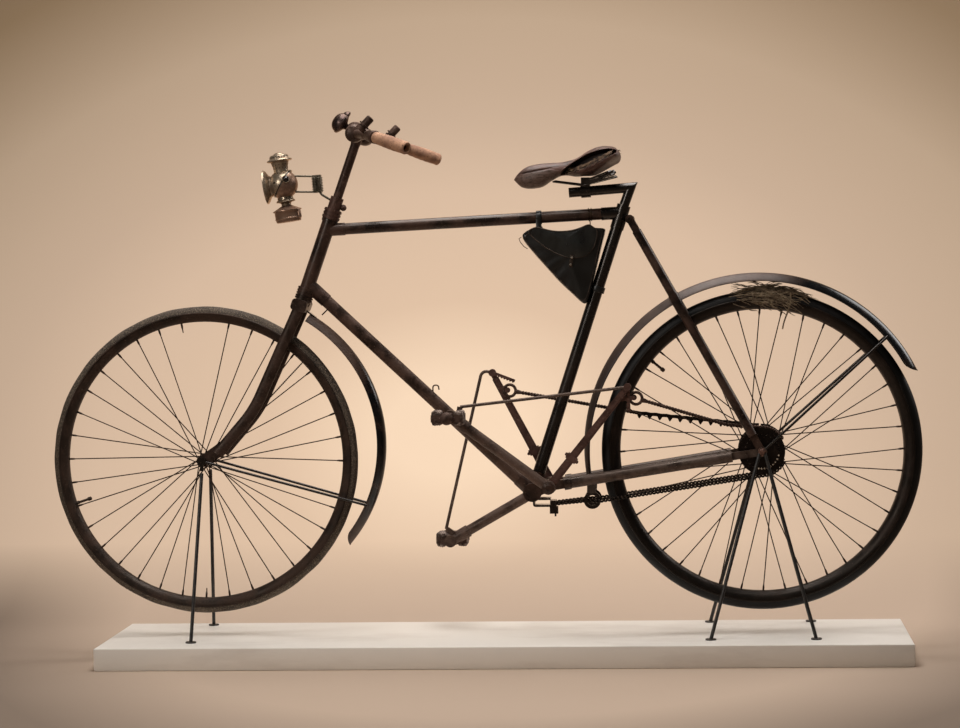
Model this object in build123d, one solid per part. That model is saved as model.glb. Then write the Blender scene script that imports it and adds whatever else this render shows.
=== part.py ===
from build123d import *
import math
import os

# A lever-driven safety bicycle of the 1890s, held off the ground by six thin rods on a low plinth.
# Millimetres. +X is forward, +Y is the rider's left, +Z is up. The origin is on the plinth's underside,
# in the bicycle's middle plane. A side view point is (x, z).

# ---- driving dimensions -------------------------------------------------------------------------
PLINTH_LENGTH, PLINTH_WIDTH, PLINTH_HEIGHT = 1807.0, 417.0, 50.0
PLINTH_SHIFT_Y = 24.0  # the plinth reaches further to the rider's left
WHEEL_GAP = 49.0  # both tyres hang this far above the plinth
WHEELBASE = 1267.0
FRONT_AXLE_X = 684.0

#            tyre centre circle, tyre section radius, spokes, flange radius, flange y, axle radius
FRONT_WHEEL = dict(circle=335.0, section=17.0, spokes=36, flange=14.0, flange_y=26.0, axle=5.0)
REAR_WHEEL = dict(circle=339.5, section=20.5, spokes=40, flange=37.0, flange_y=25.0, axle=6.0)
#                        first spoke's angle, spokes that are gone, broken off near the rim
FRONT_WHEEL.update(first=1.0, gone=(9, 19), broken=(8, 27))
REAR_WHEEL.update(first=0.0, gone=(), broken=())
RIM_WALL, RIM_LIP, RIM_BEAD_R = 1.6, 0.3, 2.2  # the lip stands just past the tyre's centre circle
SPOKE_THICK, SPOKE_LEAN, SPOKE_STUB = 2.0, 52.0, 21.0  # the lean is in degrees round the flange
RUNNING_FIT = 0.05  # radial clearance of a shaft in its bore
SEAT_GAP = 0.3  # between curved faces of a tyre and its rim, or of two bodies

HEAD_LEAN = 19.8  # degrees from upright, leaning back
HEAD_FOOT = (448.5, 823.0)  # the steering axis at the lower head race
HEAD_LENGTH = 184.0
STEERER_R, HEAD_R = 13.0, 16.5

TOP_TUBE_R, DOWN_TUBE_R, SEAT_TUBE_R = 13.0, 14.2, 14.0
SEAT_STAY_R, CHAIN_STAY_R = 10.0, 12.6

LEVER_LENGTH, ARM_LENGTH = 272.0, 272.0
LEVER_TO_ARM = 92.0  # degrees between a treadle lever and its arm
TRAVEL = 66.5  # degrees from a lever's top to its bottom
LEFT_LEVER_ANGLE = 36.9  # degrees above forward: the left lever stands at its top

# ---- places that follow from them ---------------------------------------------------------------
front_outer = FRONT_WHEEL["circle"] + FRONT_WHEEL["section"]
rear_outer = REAR_WHEEL["circle"] + REAR_WHEEL["section"]
FRONT = (FRONT_AXLE_X, PLINTH_HEIGHT + WHEEL_GAP + front_outer)
REAR = (FRONT_AXLE_X - WHEELBASE, PLINTH_HEIGHT + WHEEL_GAP + rear_outer)

HEAD_TOP_JOINT = (394.9, 971.8)  # where the top tube's line meets the steering axis
HEAD_DOWN_JOINT = (439.1, 849.0)
SEAT_JOINT = (-276.3, 998.7)
BRACKET = (-65.2, 369.7)  # where the down tube and the seat tube meet
PIVOT = (-105.4, 385.4)  # the shaft that both levers swing on


# ---- helpers ------------------------------------------------------------------------------------
ON_START = (Align.CENTER, Align.CENTER, Align.MIN)  # a bar stands on its starting point


def at(side_point, y=0.0):
    """A side view point (x, z) as a vector, y to the rider's left."""
    return Vector(side_point[0], y, side_point[1])


def between(a, b, share):
    return a + (b - a) * share


def rod(a, b, radius):
    """A round bar from a to b."""
    line = b - a
    return Plane(origin=a, z_dir=line) * Cylinder(radius, line.length, align=ON_START)


def cone(a, b, radius_a, radius_b):
    line = b - a
    return Plane(origin=a, z_dir=line) * Cone(radius_a, radius_b, line.length, align=ON_START)


def flat_bar(a, b, depth, width, side=Vector(0, 1, 0)):
    """A bar of rectangular section from a to b, width across it along side and depth the other way."""
    line = b - a
    across = (side - line.normalized() * side.dot(line.normalized())).normalized()
    plane = Plane(origin=a, x_dir=across, z_dir=line)
    return plane * Box(width, depth, line.length, align=ON_START)


def section_plane(path, side=Vector(0, 1, 0)):
    """The plane square to a path's start, whose x direction is nearest to side."""
    along = path % 0
    across = (side - along * side.dot(along)).normalized()
    return Plane(origin=path @ 0, x_dir=across, z_dir=along)


def bent_rod(points, radii, radius):
    """A round bar along straight runs joined by arcs."""
    path = FilletPolyline(*points, radius=radii)
    return sweep(section_plane(path) * Circle(radius), path=path)


def cross_disc(side_point, y_low, y_high, radius):
    """A disc or drum whose axis runs across the bicycle."""
    return rod(at(side_point, y_low), at(side_point, y_high), radius)


def both_sides(shape):
    """A left-hand piece together with its mirror image on the right."""
    return Compound([*shape.solids(), *mirror(shape, about=Plane.XZ).solids()])


def largest(shape):
    """The main solid of a piece that its neighbours cut through."""
    return max(shape.solids(), key=lambda solid: solid.volume)


def polar(centre, radius, degrees):
    """A side view point at an angle from forward, upwards."""
    return (
        centre[0] + radius * math.cos(math.radians(degrees)),
        centre[1] + radius * math.sin(math.radians(degrees)),
    )


def revolved(profile, side_point):
    """A wheel part from a profile drawn in the (radius, y) plane, about the axle at side_point."""
    return Pos(side_point[0], 0, side_point[1]) * revolve(profile, axis=Axis.Y)


def ring_sector(profile, side_point, start, end):
    """Part of a revolved form, from one angle to another, degrees from forward and upwards."""
    turned = revolve(profile, axis=Axis.Y, revolution_arc=end - start)
    return Pos(side_point[0], 0, side_point[1]) * Rot(0, -end, 0) * turned


# ---- wheels: in their profiles x is the radius and y is along the axle ----------------------------
def tyre(wheel, centre):
    return revolved(Pos(wheel["circle"], 0) * Circle(wheel["section"]), centre)


def rim(wheel, centre):
    """A rolled steel trough that the tyre is cemented into, with a bead along each edge."""
    inner = wheel["section"] + SEAT_GAP
    outer = inner + RIM_WALL
    trough = Circle(outer) - Pos(RIM_LIP + outer, 0) * Rectangle(2 * outer, 4 * outer)
    beads = [Pos(RIM_LIP, side * outer) * Circle(RIM_BEAD_R) for side in (1, -1)]
    return revolved(Pos(wheel["circle"], 0) * (trough + beads - Circle(inner)), centre)


def spokes(wheel, centre):
    """Wire spokes in pairs that lean opposite ways, from flange to flange in turn."""
    rim_radius = wheel["circle"] - wheel["section"] - SEAT_GAP - RIM_WALL - 0.1
    wires = []
    for k in range(wheel["spokes"]):
        if k in wheel["gone"]:
            continue
        turn = wheel["first"] + k * 360.0 / wheel["spokes"]
        side = 1 if k % 2 == 0 else -1
        way = 1 if k % 4 < 2 else -1
        hub_y = side * (wheel["flange_y"] + way * 2.5)
        hub_end = at(polar(centre, wheel["flange"] - SPOKE_THICK, turn + way * SPOKE_LEAN), hub_y)
        rim_end = at(polar(centre, rim_radius, turn), side * 1.5)
        if k in wheel["broken"]:
            hub_end = rim_end + (hub_end - rim_end).normalized() * SPOKE_STUB
        wires.append(flat_bar(hub_end, rim_end, SPOKE_THICK, SPOKE_THICK))
    return Compound([s for wire in wires for s in wire.solids()])


def hub(wheel, centre, barrel, length):
    """A waisted hub barrel with a flange near each end, bored for its axle."""
    bore, inside, outside = wheel["axle"] + RUNNING_FIT, wheel["flange_y"] - 1.0, wheel["flange_y"] + 1.0
    half_outline = [(barrel + 1.5, inside), (wheel["flange"], inside), (wheel["flange"], outside)]
    half_outline += [(barrel, outside), (barrel, length / 2), (bore, length / 2)]
    far_outline = [(radius, -y) for radius, y in reversed(half_outline)]
    ends = Polyline(*half_outline, *far_outline)
    waist = ThreePointArc(half_outline[0], (barrel - 1.5, 0), far_outline[-1])
    return revolved(make_face([ends, waist]), centre)


FRONT_HUB_LENGTH = 66.0
REAR_HUB_LENGTH = 60.0
front_tyre = tyre(FRONT_WHEEL, FRONT)
front_rim = rim(FRONT_WHEEL, FRONT)
front_hub = hub(FRONT_WHEEL, FRONT, 9.0, FRONT_HUB_LENGTH)
front_spokes = spokes(FRONT_WHEEL, FRONT)
rear_tyre = tyre(REAR_WHEEL, REAR)
rear_rim = rim(REAR_WHEEL, REAR)
rear_hub = hub(REAR_WHEEL, REAR, 22.0, REAR_HUB_LENGTH)
rear_spokes = spokes(REAR_WHEEL, REAR)

# A hank of straw twine is caught over the rear tyre, just behind its top.
STRAW_START, STRAW_END = 76.0, 103.0
STRAW_HIGH, STRAW_WIDE, RIM_EDGE = 30.0, 24.0, 3.2
straw_section = Ellipse(STRAW_HIGH, STRAW_WIDE) - Circle(REAR_WHEEL["section"] + 2 * SEAT_GAP)
straw_section -= Pos(RIM_EDGE - STRAW_HIGH, 0) * Rectangle(2 * STRAW_HIGH, 4 * STRAW_WIDE)
straw_bundle = ring_sector(Pos(REAR_WHEEL["circle"], 0) * straw_section, REAR, STRAW_START, STRAW_END)

# ---- drive drums: each has a ratchet inside and turns to and fro on the rear axle -----------------
DRUM_R, DRUM_Y, DRUM_WIDTH = 50.0, 40.0, 12.0
CHAIN_PITCH, TOOTH_HIGH, DRUM_TEETH = 28.0, 8.0, 12
CHEEK_R, CHEEK_WIDTH = 52.0, 2.0
DRUM_HOLES, DRUM_HOLE_CIRCLE, DRUM_HOLE_R = 24, 38.5, 1.9


def drum(side):
    """A chain drum notched for the chain's teeth, with a cheek outside it and a ring of small holes."""
    notch = Polygon((DRUM_R + 2.0, 7.0), (DRUM_R - TOOTH_HIGH, 0), (DRUM_R + 2.0, -7.0), align=None)
    holes = PolarLocations(DRUM_HOLE_CIRCLE, DRUM_HOLES) * Circle(DRUM_HOLE_R)
    bore = Circle(REAR_WHEEL["axle"] + RUNNING_FIT)
    notched = Circle(DRUM_R) - PolarLocations(0, DRUM_TEETH) * notch - holes - bore
    cheek = Circle(CHEEK_R) - holes - bore
    middle = Plane(origin=at(REAR, side * DRUM_Y), x_dir=(1, 0, 0), z_dir=(0, side, 0))
    core = extrude(notched, DRUM_WIDTH / 2 - CHEEK_WIDTH) + extrude(notched, -DRUM_WIDTH / 2)
    core += Pos(0, 0, DRUM_WIDTH / 2 - CHEEK_WIDTH) * extrude(cheek, CHEEK_WIDTH)
    return middle * core


left_drum = drum(1)
right_drum = drum(-1)

# ---- frame --------------------------------------------------------------------------------------
LUG_WALL = 1.5
head_up = Vector(-math.sin(math.radians(HEAD_LEAN)), 0, math.cos(math.radians(HEAD_LEAN)))
head_ahead = Vector(head_up.Z, 0, -head_up.X)


def on_head(distance, ahead=0.0, y=0.0):
    """A point a distance up the steering axis from the lower race, ahead of it and to the left."""
    return at(HEAD_FOOT) + head_up * distance + head_ahead * ahead + Vector(0, y, 0)


def sleeve(a, b, length, radius):
    """A lug's socket: the first length of the line from a to b."""
    return rod(a, a + (b - a).normalized() * length, radius)


top_a, top_b = at(HEAD_TOP_JOINT), at(SEAT_JOINT)
down_a, down_b = at(HEAD_DOWN_JOINT), at(BRACKET)
seat_a, seat_b = at(BRACKET), at(SEAT_JOINT)

RACE_R, RACE_GROOVE = 20.5, 1.8


def ribbed(low, high, ribs):
    """A head race: rings side by side up the steering axis, with grooves between them."""
    pitch = (high - low) / ribs
    race = rod(on_head(low), on_head(high), RACE_R - RACE_GROOVE)
    for k in range(ribs):
        race += rod(on_head(low + pitch * (k + 0.16)), on_head(low + pitch * (k + 0.84)), RACE_R)
    return race


head_tube = rod(on_head(0), on_head(HEAD_LENGTH), HEAD_R)
head_tube += ribbed(0.5, 18.5, 3)
head_tube += rod(on_head(HEAD_LENGTH - 7), on_head(HEAD_LENGTH), HEAD_R + 2.2)
head_tube += sleeve(top_a, top_b, 42.0, TOP_TUBE_R + LUG_WALL)
head_tube += sleeve(down_a, down_b, 56.0, DOWN_TUBE_R + LUG_WALL)
head_tube -= rod(on_head(-40), on_head(HEAD_LENGTH + 40), STEERER_R + RUNNING_FIT)

# The bracket joins the down tube, the seat tube and, on a short neck, the levers' pivot shaft.
BRACKET_R, BRACKET_HALF = 21.0, 26.0
PIVOT_BOSS_R, PIVOT_SHAFT_R, PIVOT_HALF = 17.0, 8.0, 97.0
PIVOT_CAP_Y, PIVOT_CAP_R = 92.4, 13.0
bracket = cross_disc(BRACKET, -BRACKET_HALF, BRACKET_HALF, BRACKET_R)
bracket += cross_disc(PIVOT, -BRACKET_HALF, BRACKET_HALF, PIVOT_BOSS_R)
bracket += flat_bar(at(BRACKET), at(PIVOT), 26.0, 2 * BRACKET_HALF - 8.0)
bracket += sleeve(down_b, down_a, 44.0, DOWN_TUBE_R + LUG_WALL)
bracket += sleeve(seat_a, seat_b, 48.0, SEAT_TUBE_R + LUG_WALL)
bracket += cross_disc(PIVOT, -PIVOT_HALF, PIVOT_HALF, PIVOT_SHAFT_R)
for side in (1, -1):
    cap_edge, cap_end = side * (PIVOT_CAP_Y + 5.0), side * (PIVOT_CAP_Y + 9.0)
    bracket += cross_disc(PIVOT, side * PIVOT_CAP_Y, cap_edge, PIVOT_CAP_R)
    bracket += cone(at(PIVOT, cap_edge), at(PIVOT, cap_end), PIVOT_CAP_R, 6.0)

# The seat lug clamps the seat pillar and carries the eyes of the seat stays.
seat_line = (seat_b - seat_a).normalized()
STAY_EYE = (-294.7, 983.6)
STAY_EYE_Y = 32.0
PILLAR_R = 11.2
seat_lug = rod(seat_b - seat_line * 38.0, seat_b + seat_line * 18.0, SEAT_TUBE_R + LUG_WALL)
seat_lug += sleeve(top_b, top_a, 46.0, TOP_TUBE_R + LUG_WALL)
seat_lug += cross_disc(STAY_EYE, -STAY_EYE_Y + 9.0, STAY_EYE_Y - 9.0, 9.0)
seat_lug += cross_disc(STAY_EYE, -STAY_EYE_Y - 11.0, STAY_EYE_Y + 11.0, 4.0)

head_space = rod(on_head(-9), on_head(HEAD_LENGTH + 40), STEERER_R + 2)
top_tube = largest(rod(top_a, top_b, TOP_TUBE_R) - head_tube - seat_lug - head_space)
down_tube = largest(rod(down_a, down_b, DOWN_TUBE_R) - head_tube - bracket - head_space)
seat_tube = largest(rod(seat_a, seat_b, SEAT_TUBE_R) - seat_lug - bracket)

# Small wire hooks for a strap or cable stand on the down tube.
HOOK_R = 1.6
down_tube += rod(at((393.0, 794.0)), at((409.4, 778.6)), HOOK_R)
curl = [at((158.5, 595.0)), at((158.5, 615.0)), at((146.0, 615.0)), at((144.6, 604.5))]
down_tube += bent_rod(curl, [5.5, 5.5], HOOK_R)

# The rear axle is fixed. The stays end in flat eyes on it.
CHAIN_EYE_Y, SEAT_EYE_Y, EYE_WIDTH, REAR_AXLE_HALF = 55.0, 61.5, 5.0, 74.0
rear_axle = cross_disc(REAR, -REAR_AXLE_HALF, REAR_AXLE_HALF, REAR_WHEEL["axle"])
for side in (1, -1):
    nut = cross_disc(REAR, side * 64.6, side * 71.0, 10.0)
    cone_nut = cross_disc(REAR, side * (CHAIN_EYE_Y - 3.5), side * (CHAIN_EYE_Y - 6.0), 11.0)
    rear_axle += nut + cone_nut


def eye(side_point, y, width, radius, hole):
    """A flat eye around a cross shaft."""
    return cross_disc(side_point, y - width / 2, y + width / 2, radius) - cross_disc(
        side_point, y - width, y + width, hole
    )


CHAIN_FRONT_Y = 39.0
chain_front = at(PIVOT, CHAIN_FRONT_Y)
chain_back = at(REAR, CHAIN_EYE_Y)
chain_tube = between(chain_front, chain_back, 0.07)
chain_stay = rod(chain_tube, between(chain_front, chain_back, 0.86), CHAIN_STAY_R)
chain_stay += rod(chain_tube, between(chain_front, chain_back, 0.1), CHAIN_STAY_R + 2.0)
chain_tongue = between(chain_front, chain_back, 0.03)
chain_stay += flat_bar(chain_tongue, between(chain_front, chain_back, 0.09), 20.0, 18.0)
chain_stay += cross_disc(PIVOT, CHAIN_FRONT_Y - 10.0, CHAIN_FRONT_Y + 10.0, 16.0)
chain_stay -= cross_disc(PIVOT, 0, 2 * CHAIN_FRONT_Y, PIVOT_SHAFT_R)
chain_stay += flat_bar(between(chain_front, chain_back, 0.84), chain_back, 17.0, EYE_WIDTH)
chain_stay += cross_disc(REAR, CHAIN_EYE_Y - EYE_WIDTH / 2, CHAIN_EYE_Y + EYE_WIDTH / 2, 12.0)
chain_stay -= cross_disc(REAR, CHAIN_EYE_Y - 20.0, CHAIN_EYE_Y + 20.0, REAR_WHEEL["axle"])
CHAIN_BRIDGE, CHAIN_BRIDGE_R = (-190.0, 398.0), 7.0
chain_stays = both_sides(chain_stay - bracket)
chain_stays += cross_disc(CHAIN_BRIDGE, -CHAIN_FRONT_Y, CHAIN_FRONT_Y, CHAIN_BRIDGE_R)

seat_top = at(STAY_EYE, STAY_EYE_Y)
seat_bottom = at(REAR, SEAT_EYE_Y)
seat_stay = rod(between(seat_top, seat_bottom, 0.05), between(seat_top, seat_bottom, 0.93), SEAT_STAY_R)
seat_stay += cross_disc(STAY_EYE, STAY_EYE_Y - 5.0, STAY_EYE_Y + 5.0, 10.0)
seat_stay += flat_bar(seat_top, between(seat_top, seat_bottom, 0.06), 16.0, 9.0)
seat_stay += flat_bar(between(seat_top, seat_bottom, 0.92), seat_bottom, 17.0, EYE_WIDTH)
seat_stay += cross_disc(REAR, SEAT_EYE_Y - EYE_WIDTH / 2, SEAT_EYE_Y + EYE_WIDTH / 2, 11.0)
seat_stay -= cross_disc(REAR, SEAT_EYE_Y - 20.0, SEAT_EYE_Y + 20.0, REAR_WHEEL["axle"])
SEAT_BRIDGE_R, SEAT_SLEEVE_R = 6.0, SEAT_STAY_R + 1.5
sleeve_foot = between(seat_top, seat_bottom, 0.415)
seat_stay += rod(between(seat_top, seat_bottom, 0.325), sleeve_foot, SEAT_SLEEVE_R)
bridge_at = between(seat_top, seat_bottom, 0.321)
seat_stays = both_sides(seat_stay - seat_lug)
seat_stays += cross_disc((bridge_at.X, bridge_at.Z), -bridge_at.Y, bridge_at.Y, SEAT_BRIDGE_R)

# ---- seat pillar, saddle and bag ------------------------------------------------------------------
PILLAR_CORNER = (-297.0, 1055.0)
PILLAR_NOSE = (-158.0, 1046.0)
corner = at(PILLAR_CORNER)
pillar_line = Polyline(seat_b + seat_line * 18.0, corner, at(PILLAR_NOSE))
pillar_section = section_plane(pillar_line) * Circle(PILLAR_R)
seat_pillar = sweep(pillar_section, path=pillar_line, transition=Transition.RIGHT)

CLAMP_X = -196.0
clamp_at = between(corner, at(PILLAR_NOSE), (corner.X - CLAMP_X) / (corner.X - PILLAR_NOSE[0]))
saddle_clamp = rod(clamp_at - Vector(11, 0, -0.7), clamp_at + Vector(11, 0, -0.7), 14.5)
saddle_clamp += Pos(clamp_at.X, 0, clamp_at.Z + 20.0) * Box(20, 34, 22)
saddle_clamp -= rod(corner, at(PILLAR_NOSE), PILLAR_R)
nose_wire = bent_rod(
    [at((-122.0, 1072.5), 10.0), at((-196.0, 1062.0), 16.0), at((-262.0, 1092.0), 52.0)], [20.0], 3.0
)
saddle_frame = saddle_clamp + nose_wire + mirror(nose_wire, about=Plane.XZ)
# Two stacks of leaf springs rise from the clamp to the cantle.
for side in (1, -1):
    for leaf in range(3):
        leaf_foot = at((-200.0, 1064.0 + 5.0 * leaf), side * 14.0)
        leaf_tip = at((-264.0 + 6.0 * leaf, 1080.0 + 6.0 * leaf), side * 42.0)
        saddle_frame += flat_bar(leaf_foot, leaf_tip, 3.6, 16.0)

#                 x,      z,  half height, half width
SADDLE_SECTIONS = [
    (-36.0, 1073.0, 5.0, 6.0),
    (-55.0, 1079.0, 20.0, 24.0),
    (-84.0, 1084.0, 24.0, 33.0),
    (-118.0, 1089.0, 20.0, 31.0),
    (-152.0, 1097.0, 14.5, 32.0),
    (-190.0, 1111.0, 24.0, 58.0),
    (-236.0, 1119.0, 27.0, 88.0),
    (-262.0, 1123.0, 17.0, 82.0),
    (-274.0, 1123.0, 8.0, 60.0),
]
saddle = loft([
    Plane(origin=(x, 0, z), x_dir=(0, 1, 0), z_dir=(-1, 0, 0)) * Ellipse(half_width, half_height)
    for x, z, half_height, half_width in SADDLE_SECTIONS
])
saddle_frame = saddle_frame - saddle

BAG_OUTLINE = [(-47.0, 948.0), (-241.0, 963.0), (-190.0, 794.0)]
BAG_THICKNESS = 54.0
bag_face = Plane.XZ * make_face(Polyline(*BAG_OUTLINE, close=True))
tool_bag = extrude(bag_face, BAG_THICKNESS / 2, both=True)
tool_bag = fillet(tool_bag.edges(), 7.0)

top_line = (top_b - top_a).normalized()


def tube_strap(centre, line, radius, width, drop):
    """A strap buckled round a frame tube, with a tail towards the bag."""
    loop = rod(centre - line * width / 2, centre + line * width / 2, radius + 2.0)
    loop -= rod(centre - line * width, centre + line * width, radius)
    return loop + drop


strap_front = between(top_a, top_b, (top_a.X + 89.5) / (top_a.X - top_b.X))
strap_back = between(top_a, top_b, (top_a.X + 204.0) / (top_a.X - top_b.X))
bag_straps = []
for place in (strap_front, strap_back):
    foot = Vector(place.X, 0, place.Z - TOP_TUBE_R - 14.0)
    tail = flat_bar(foot, place - Vector(0, 0, TOP_TUBE_R + 1.0), 12.0, 8.0)
    bag_straps.append(tube_strap(place, top_line, TOP_TUBE_R, 12.0, tail))
strap_seat = between(seat_a, seat_b, (828.0 - seat_a.Z) / (seat_b.Z - seat_a.Z))
strap_tail = flat_bar(strap_seat + Vector(15.0, 0, 4.0), strap_seat + Vector(25.0, 0, 7.0), 12.0, 8.0)
bag_straps.append(tube_strap(strap_seat, seat_line, SEAT_TUBE_R, 13.0, strap_tail))
bag_straps = Compound([s for strap in bag_straps for s in (strap - tool_bag - top_tube - seat_tube).solids()])

# ---- rear mudguard --------------------------------------------------------------------------------
REAR_GUARD_R, GUARD_HALF, GUARD_WALL, GUARD_RISE = 394.0, 27.0, 1.6, 17.0
REAR_GUARD_CENTRE = (-577.5, 465.0)
REAR_GUARD_START, REAR_GUARD_END = -9.4, 154.5


def guard_section(radius, half):
    """A deep arched strip: x is the radius, y is across."""
    edge, inner_half = radius - GUARD_RISE, half - GUARD_WALL
    outer = [(edge, -half), (radius, 0), (edge, half)]
    inner = [(edge, inner_half), (radius - GUARD_WALL, 0), (edge, -inner_half)]
    sides = [Line(outer[2], inner[0]), Line(inner[2], outer[0])]
    return make_face([ThreePointArc(*outer), ThreePointArc(*inner), *sides])


def guard_tongue(centre, radius, end, half, way):
    """What a guard's rounded end leaves off; way is 1 where the end looks on round, or -1."""
    root_angle = end - way * math.degrees(half / radius)
    outwards = (math.cos(math.radians(root_angle)), 0, math.sin(math.radians(root_angle)))
    onwards = (-way * outwards[2], 0, way * outwards[0])
    root = Plane(origin=at(polar(centre, radius, root_angle)), x_dir=onwards, z_dir=outwards)
    return root * (Pos(half, 0, 0) * Box(2 * half, 3 * half, 3 * half) - Cylinder(half, 4 * half))


rear_mudguard = ring_sector(
    guard_section(REAR_GUARD_R, GUARD_HALF), REAR_GUARD_CENTRE, REAR_GUARD_START, REAR_GUARD_END
)
rear_mudguard -= guard_tongue(REAR_GUARD_CENTRE, REAR_GUARD_R, REAR_GUARD_END, GUARD_HALF, 1)
rear_mudguard = largest(rear_mudguard - chain_stays)
seat_stays -= rear_mudguard
# Bridges between the seat stays and the chain stays carry it, and one wire stay each side its tail.
REAR_STAY_POINT = polar(REAR_GUARD_CENTRE, REAR_GUARD_R - 14.0, 139.5)
GUARD_STAY_R, GUARD_STAY_Y = 3.0, 66.3
stay_eye = eye(REAR, GUARD_STAY_Y - 0.7, 2.4, 9.0, REAR_WHEEL["axle"])
stay_run = bent_rod(
    [
        at((REAR[0] - 7.0, REAR[1] + 6.0), GUARD_STAY_Y + 0.5),
        at(polar(REAR, 60.0, 138.0), GUARD_STAY_Y),
        at(REAR_STAY_POINT, GUARD_HALF - 1.0),
    ],
    [30.0],
    GUARD_STAY_R,
)
guard_stay = (stay_run + stay_eye) - seat_stays - rear_mudguard - rear_axle
guard_stay -= cross_disc(REAR, 0, 100, REAR_WHEEL["axle"])
rear_guard_stays = both_sides(largest(guard_stay))

# ---- treadle levers -------------------------------------------------------------------------------
LEVER_Y, LEVER_R = 80.0, 11.7
ARM_Y, ARM_ROOT_DEPTH, ARM_TIP_DEPTH, ARM_THICK = 62.0, 20.0, 15.0, 8.0
RING_Y = 51.0
PEDAL_PIN_R, PEDAL_IN, PEDAL_OUT = 6.0, 98.0, 176.0
TIE_R, TIE_LEAD, TIE_REACH = 3.6, 6.3, 268.5  # the tie's front end: degrees past the lever, reach
CAP_REACH = 286.0
RIGHT_CROOK, CROOK_R = (24.0, 0.0, 6.0), 14.0
RING_OUT, RING_IN, RING_THICK = 17.0, 10.0, 5.0
HOOK_PIN_R = 4.0
# The serrated adjuster at an arm's tip, as (along the arm, towards the chain).
RACK_TOP, RACK_FOOT = Vector(280.0, 3.0), Vector(243.0, 35.0)
RACK_DEPTH, RACK_TEETH, RACK_TOOTH, RACK_THICK = 6.0, 7, 3.2, 3.0
CLAMP_ALONG = 83.0


def arm_plane(y, arm_angle):
    """The side view plane at an arm's pivot: x runs along the arm and y towards the chain."""
    turn = math.radians(arm_angle)
    return Plane(origin=at(PIVOT, y), x_dir=(math.cos(turn), 0, math.sin(turn)), z_dir=(0, -1, 0))


def rack():
    """The outline of a serrated strip."""
    step = (RACK_FOOT - RACK_TOP) / RACK_TEETH
    back = Vector(-step.Y, step.X, 0).normalized()
    points = [RACK_TOP - back * RACK_DEPTH, RACK_TOP]
    for k in range(RACK_TEETH):
        points += [RACK_TOP + step * (k + 0.5) + back * RACK_TOOTH, RACK_TOP + step * (k + 1)]
    points.append(RACK_FOOT - back * RACK_DEPTH)
    return Polygon(*[(point.X, point.Y) for point in points], align=None)


def treadle(side, lever_angle):
    """One bell crank: a tube lever to the pedal, a flat arm to the chain and a tie rod between."""
    arm_angle = lever_angle + LEVER_TO_ARM
    boss = cross_disc(PIVOT, side * (LEVER_Y - 12.0), side * (LEVER_Y + 12.0), 15.0)
    pedal_at = polar(PIVOT, LEVER_LENGTH, lever_angle)
    lever = boss + rod(at(PIVOT, side * LEVER_Y), at(pedal_at, side * LEVER_Y), LEVER_R)
    lever += cross_disc(pedal_at, side * (LEVER_Y - 12.0), side * (LEVER_Y + 12.5), 14.0)
    collar_from = at(polar(PIVOT, LEVER_LENGTH - 48.0, lever_angle), side * LEVER_Y)
    collar_to = at(polar(PIVOT, LEVER_LENGTH - 20.0, lever_angle), side * LEVER_Y)
    lever += rod(collar_from, collar_to, LEVER_R + 2.5)
    lever += cross_disc(pedal_at, side * LEVER_Y, side * (PEDAL_OUT - 2.0), PEDAL_PIN_R)
    tie_from = polar(PIVOT, TIE_REACH, lever_angle + TIE_LEAD)
    lever += flat_bar(collar_to, at(tie_from, side * LEVER_Y), 12.0, 10.0)
    bore = cross_disc(PIVOT, side * (LEVER_Y - 30.0), side * (LEVER_Y + 30.0), PIVOT_SHAFT_R + RUNNING_FIT)
    lever -= bore

    arm_y = side * ARM_Y
    arm = cross_disc(PIVOT, side * (LEVER_Y - 24.0), side * (LEVER_Y - 12.0), 16.0)
    root, tip = ARM_ROOT_DEPTH / 2, ARM_TIP_DEPTH / 2
    middle = arm_plane(arm_y, arm_angle)
    for share, thick in ((1.0, ARM_THICK), (0.5, ARM_THICK + 3.0)):
        start, end = root * share, tip * share
        taper = Polygon((0, -start), (0, start), (ARM_LENGTH, end), (ARM_LENGTH, -end), align=None)
        arm += extrude(middle * taper, thick / 2, both=True)
    arm += middle * Pos(CLAMP_ALONG, 0, 0) * Box(14.0, ARM_ROOT_DEPTH + 6.0, ARM_THICK + 6.0)
    for edge in (1, -1):
        bolt = Pos(CLAMP_ALONG, edge * (root + 4.5), 0) * Cylinder(3.5, ARM_THICK + 9.0)
        arm += middle * bolt
    arm += middle * Pos((ARM_LENGTH + CAP_REACH) / 2, 0, 0) * Box(CAP_REACH - ARM_LENGTH, 12.0, 6.0)
    cap_at = polar(PIVOT, CAP_REACH, arm_angle)
    arm += cross_disc(cap_at, side * (ARM_Y - 8.0), side * (ARM_Y + 8.0), 8.5)
    serrated = extrude(rack(), RACK_THICK / 2, both=True)
    arm += arm_plane(side * (ARM_Y - ARM_THICK / 2 - RACK_THICK / 2), arm_angle) * serrated
    arm -= bore
    return lever, arm, tie_from, cap_at


def tie_rod(side, tie_from, cap_at, crook, lever, arm):
    """A rod from a lever's front end to its arm's cap, which it may reach over a crook."""
    start = at(tie_from, side * LEVER_Y)
    end = at(cap_at, side * (ARM_Y + 3.0))
    run = rod(start, end, TIE_R)
    if crook:
        knee = end + Vector(*crook)
        run = bent_rod([start, knee, end], [CROOK_R], TIE_R)
    return run - lever - arm


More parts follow.
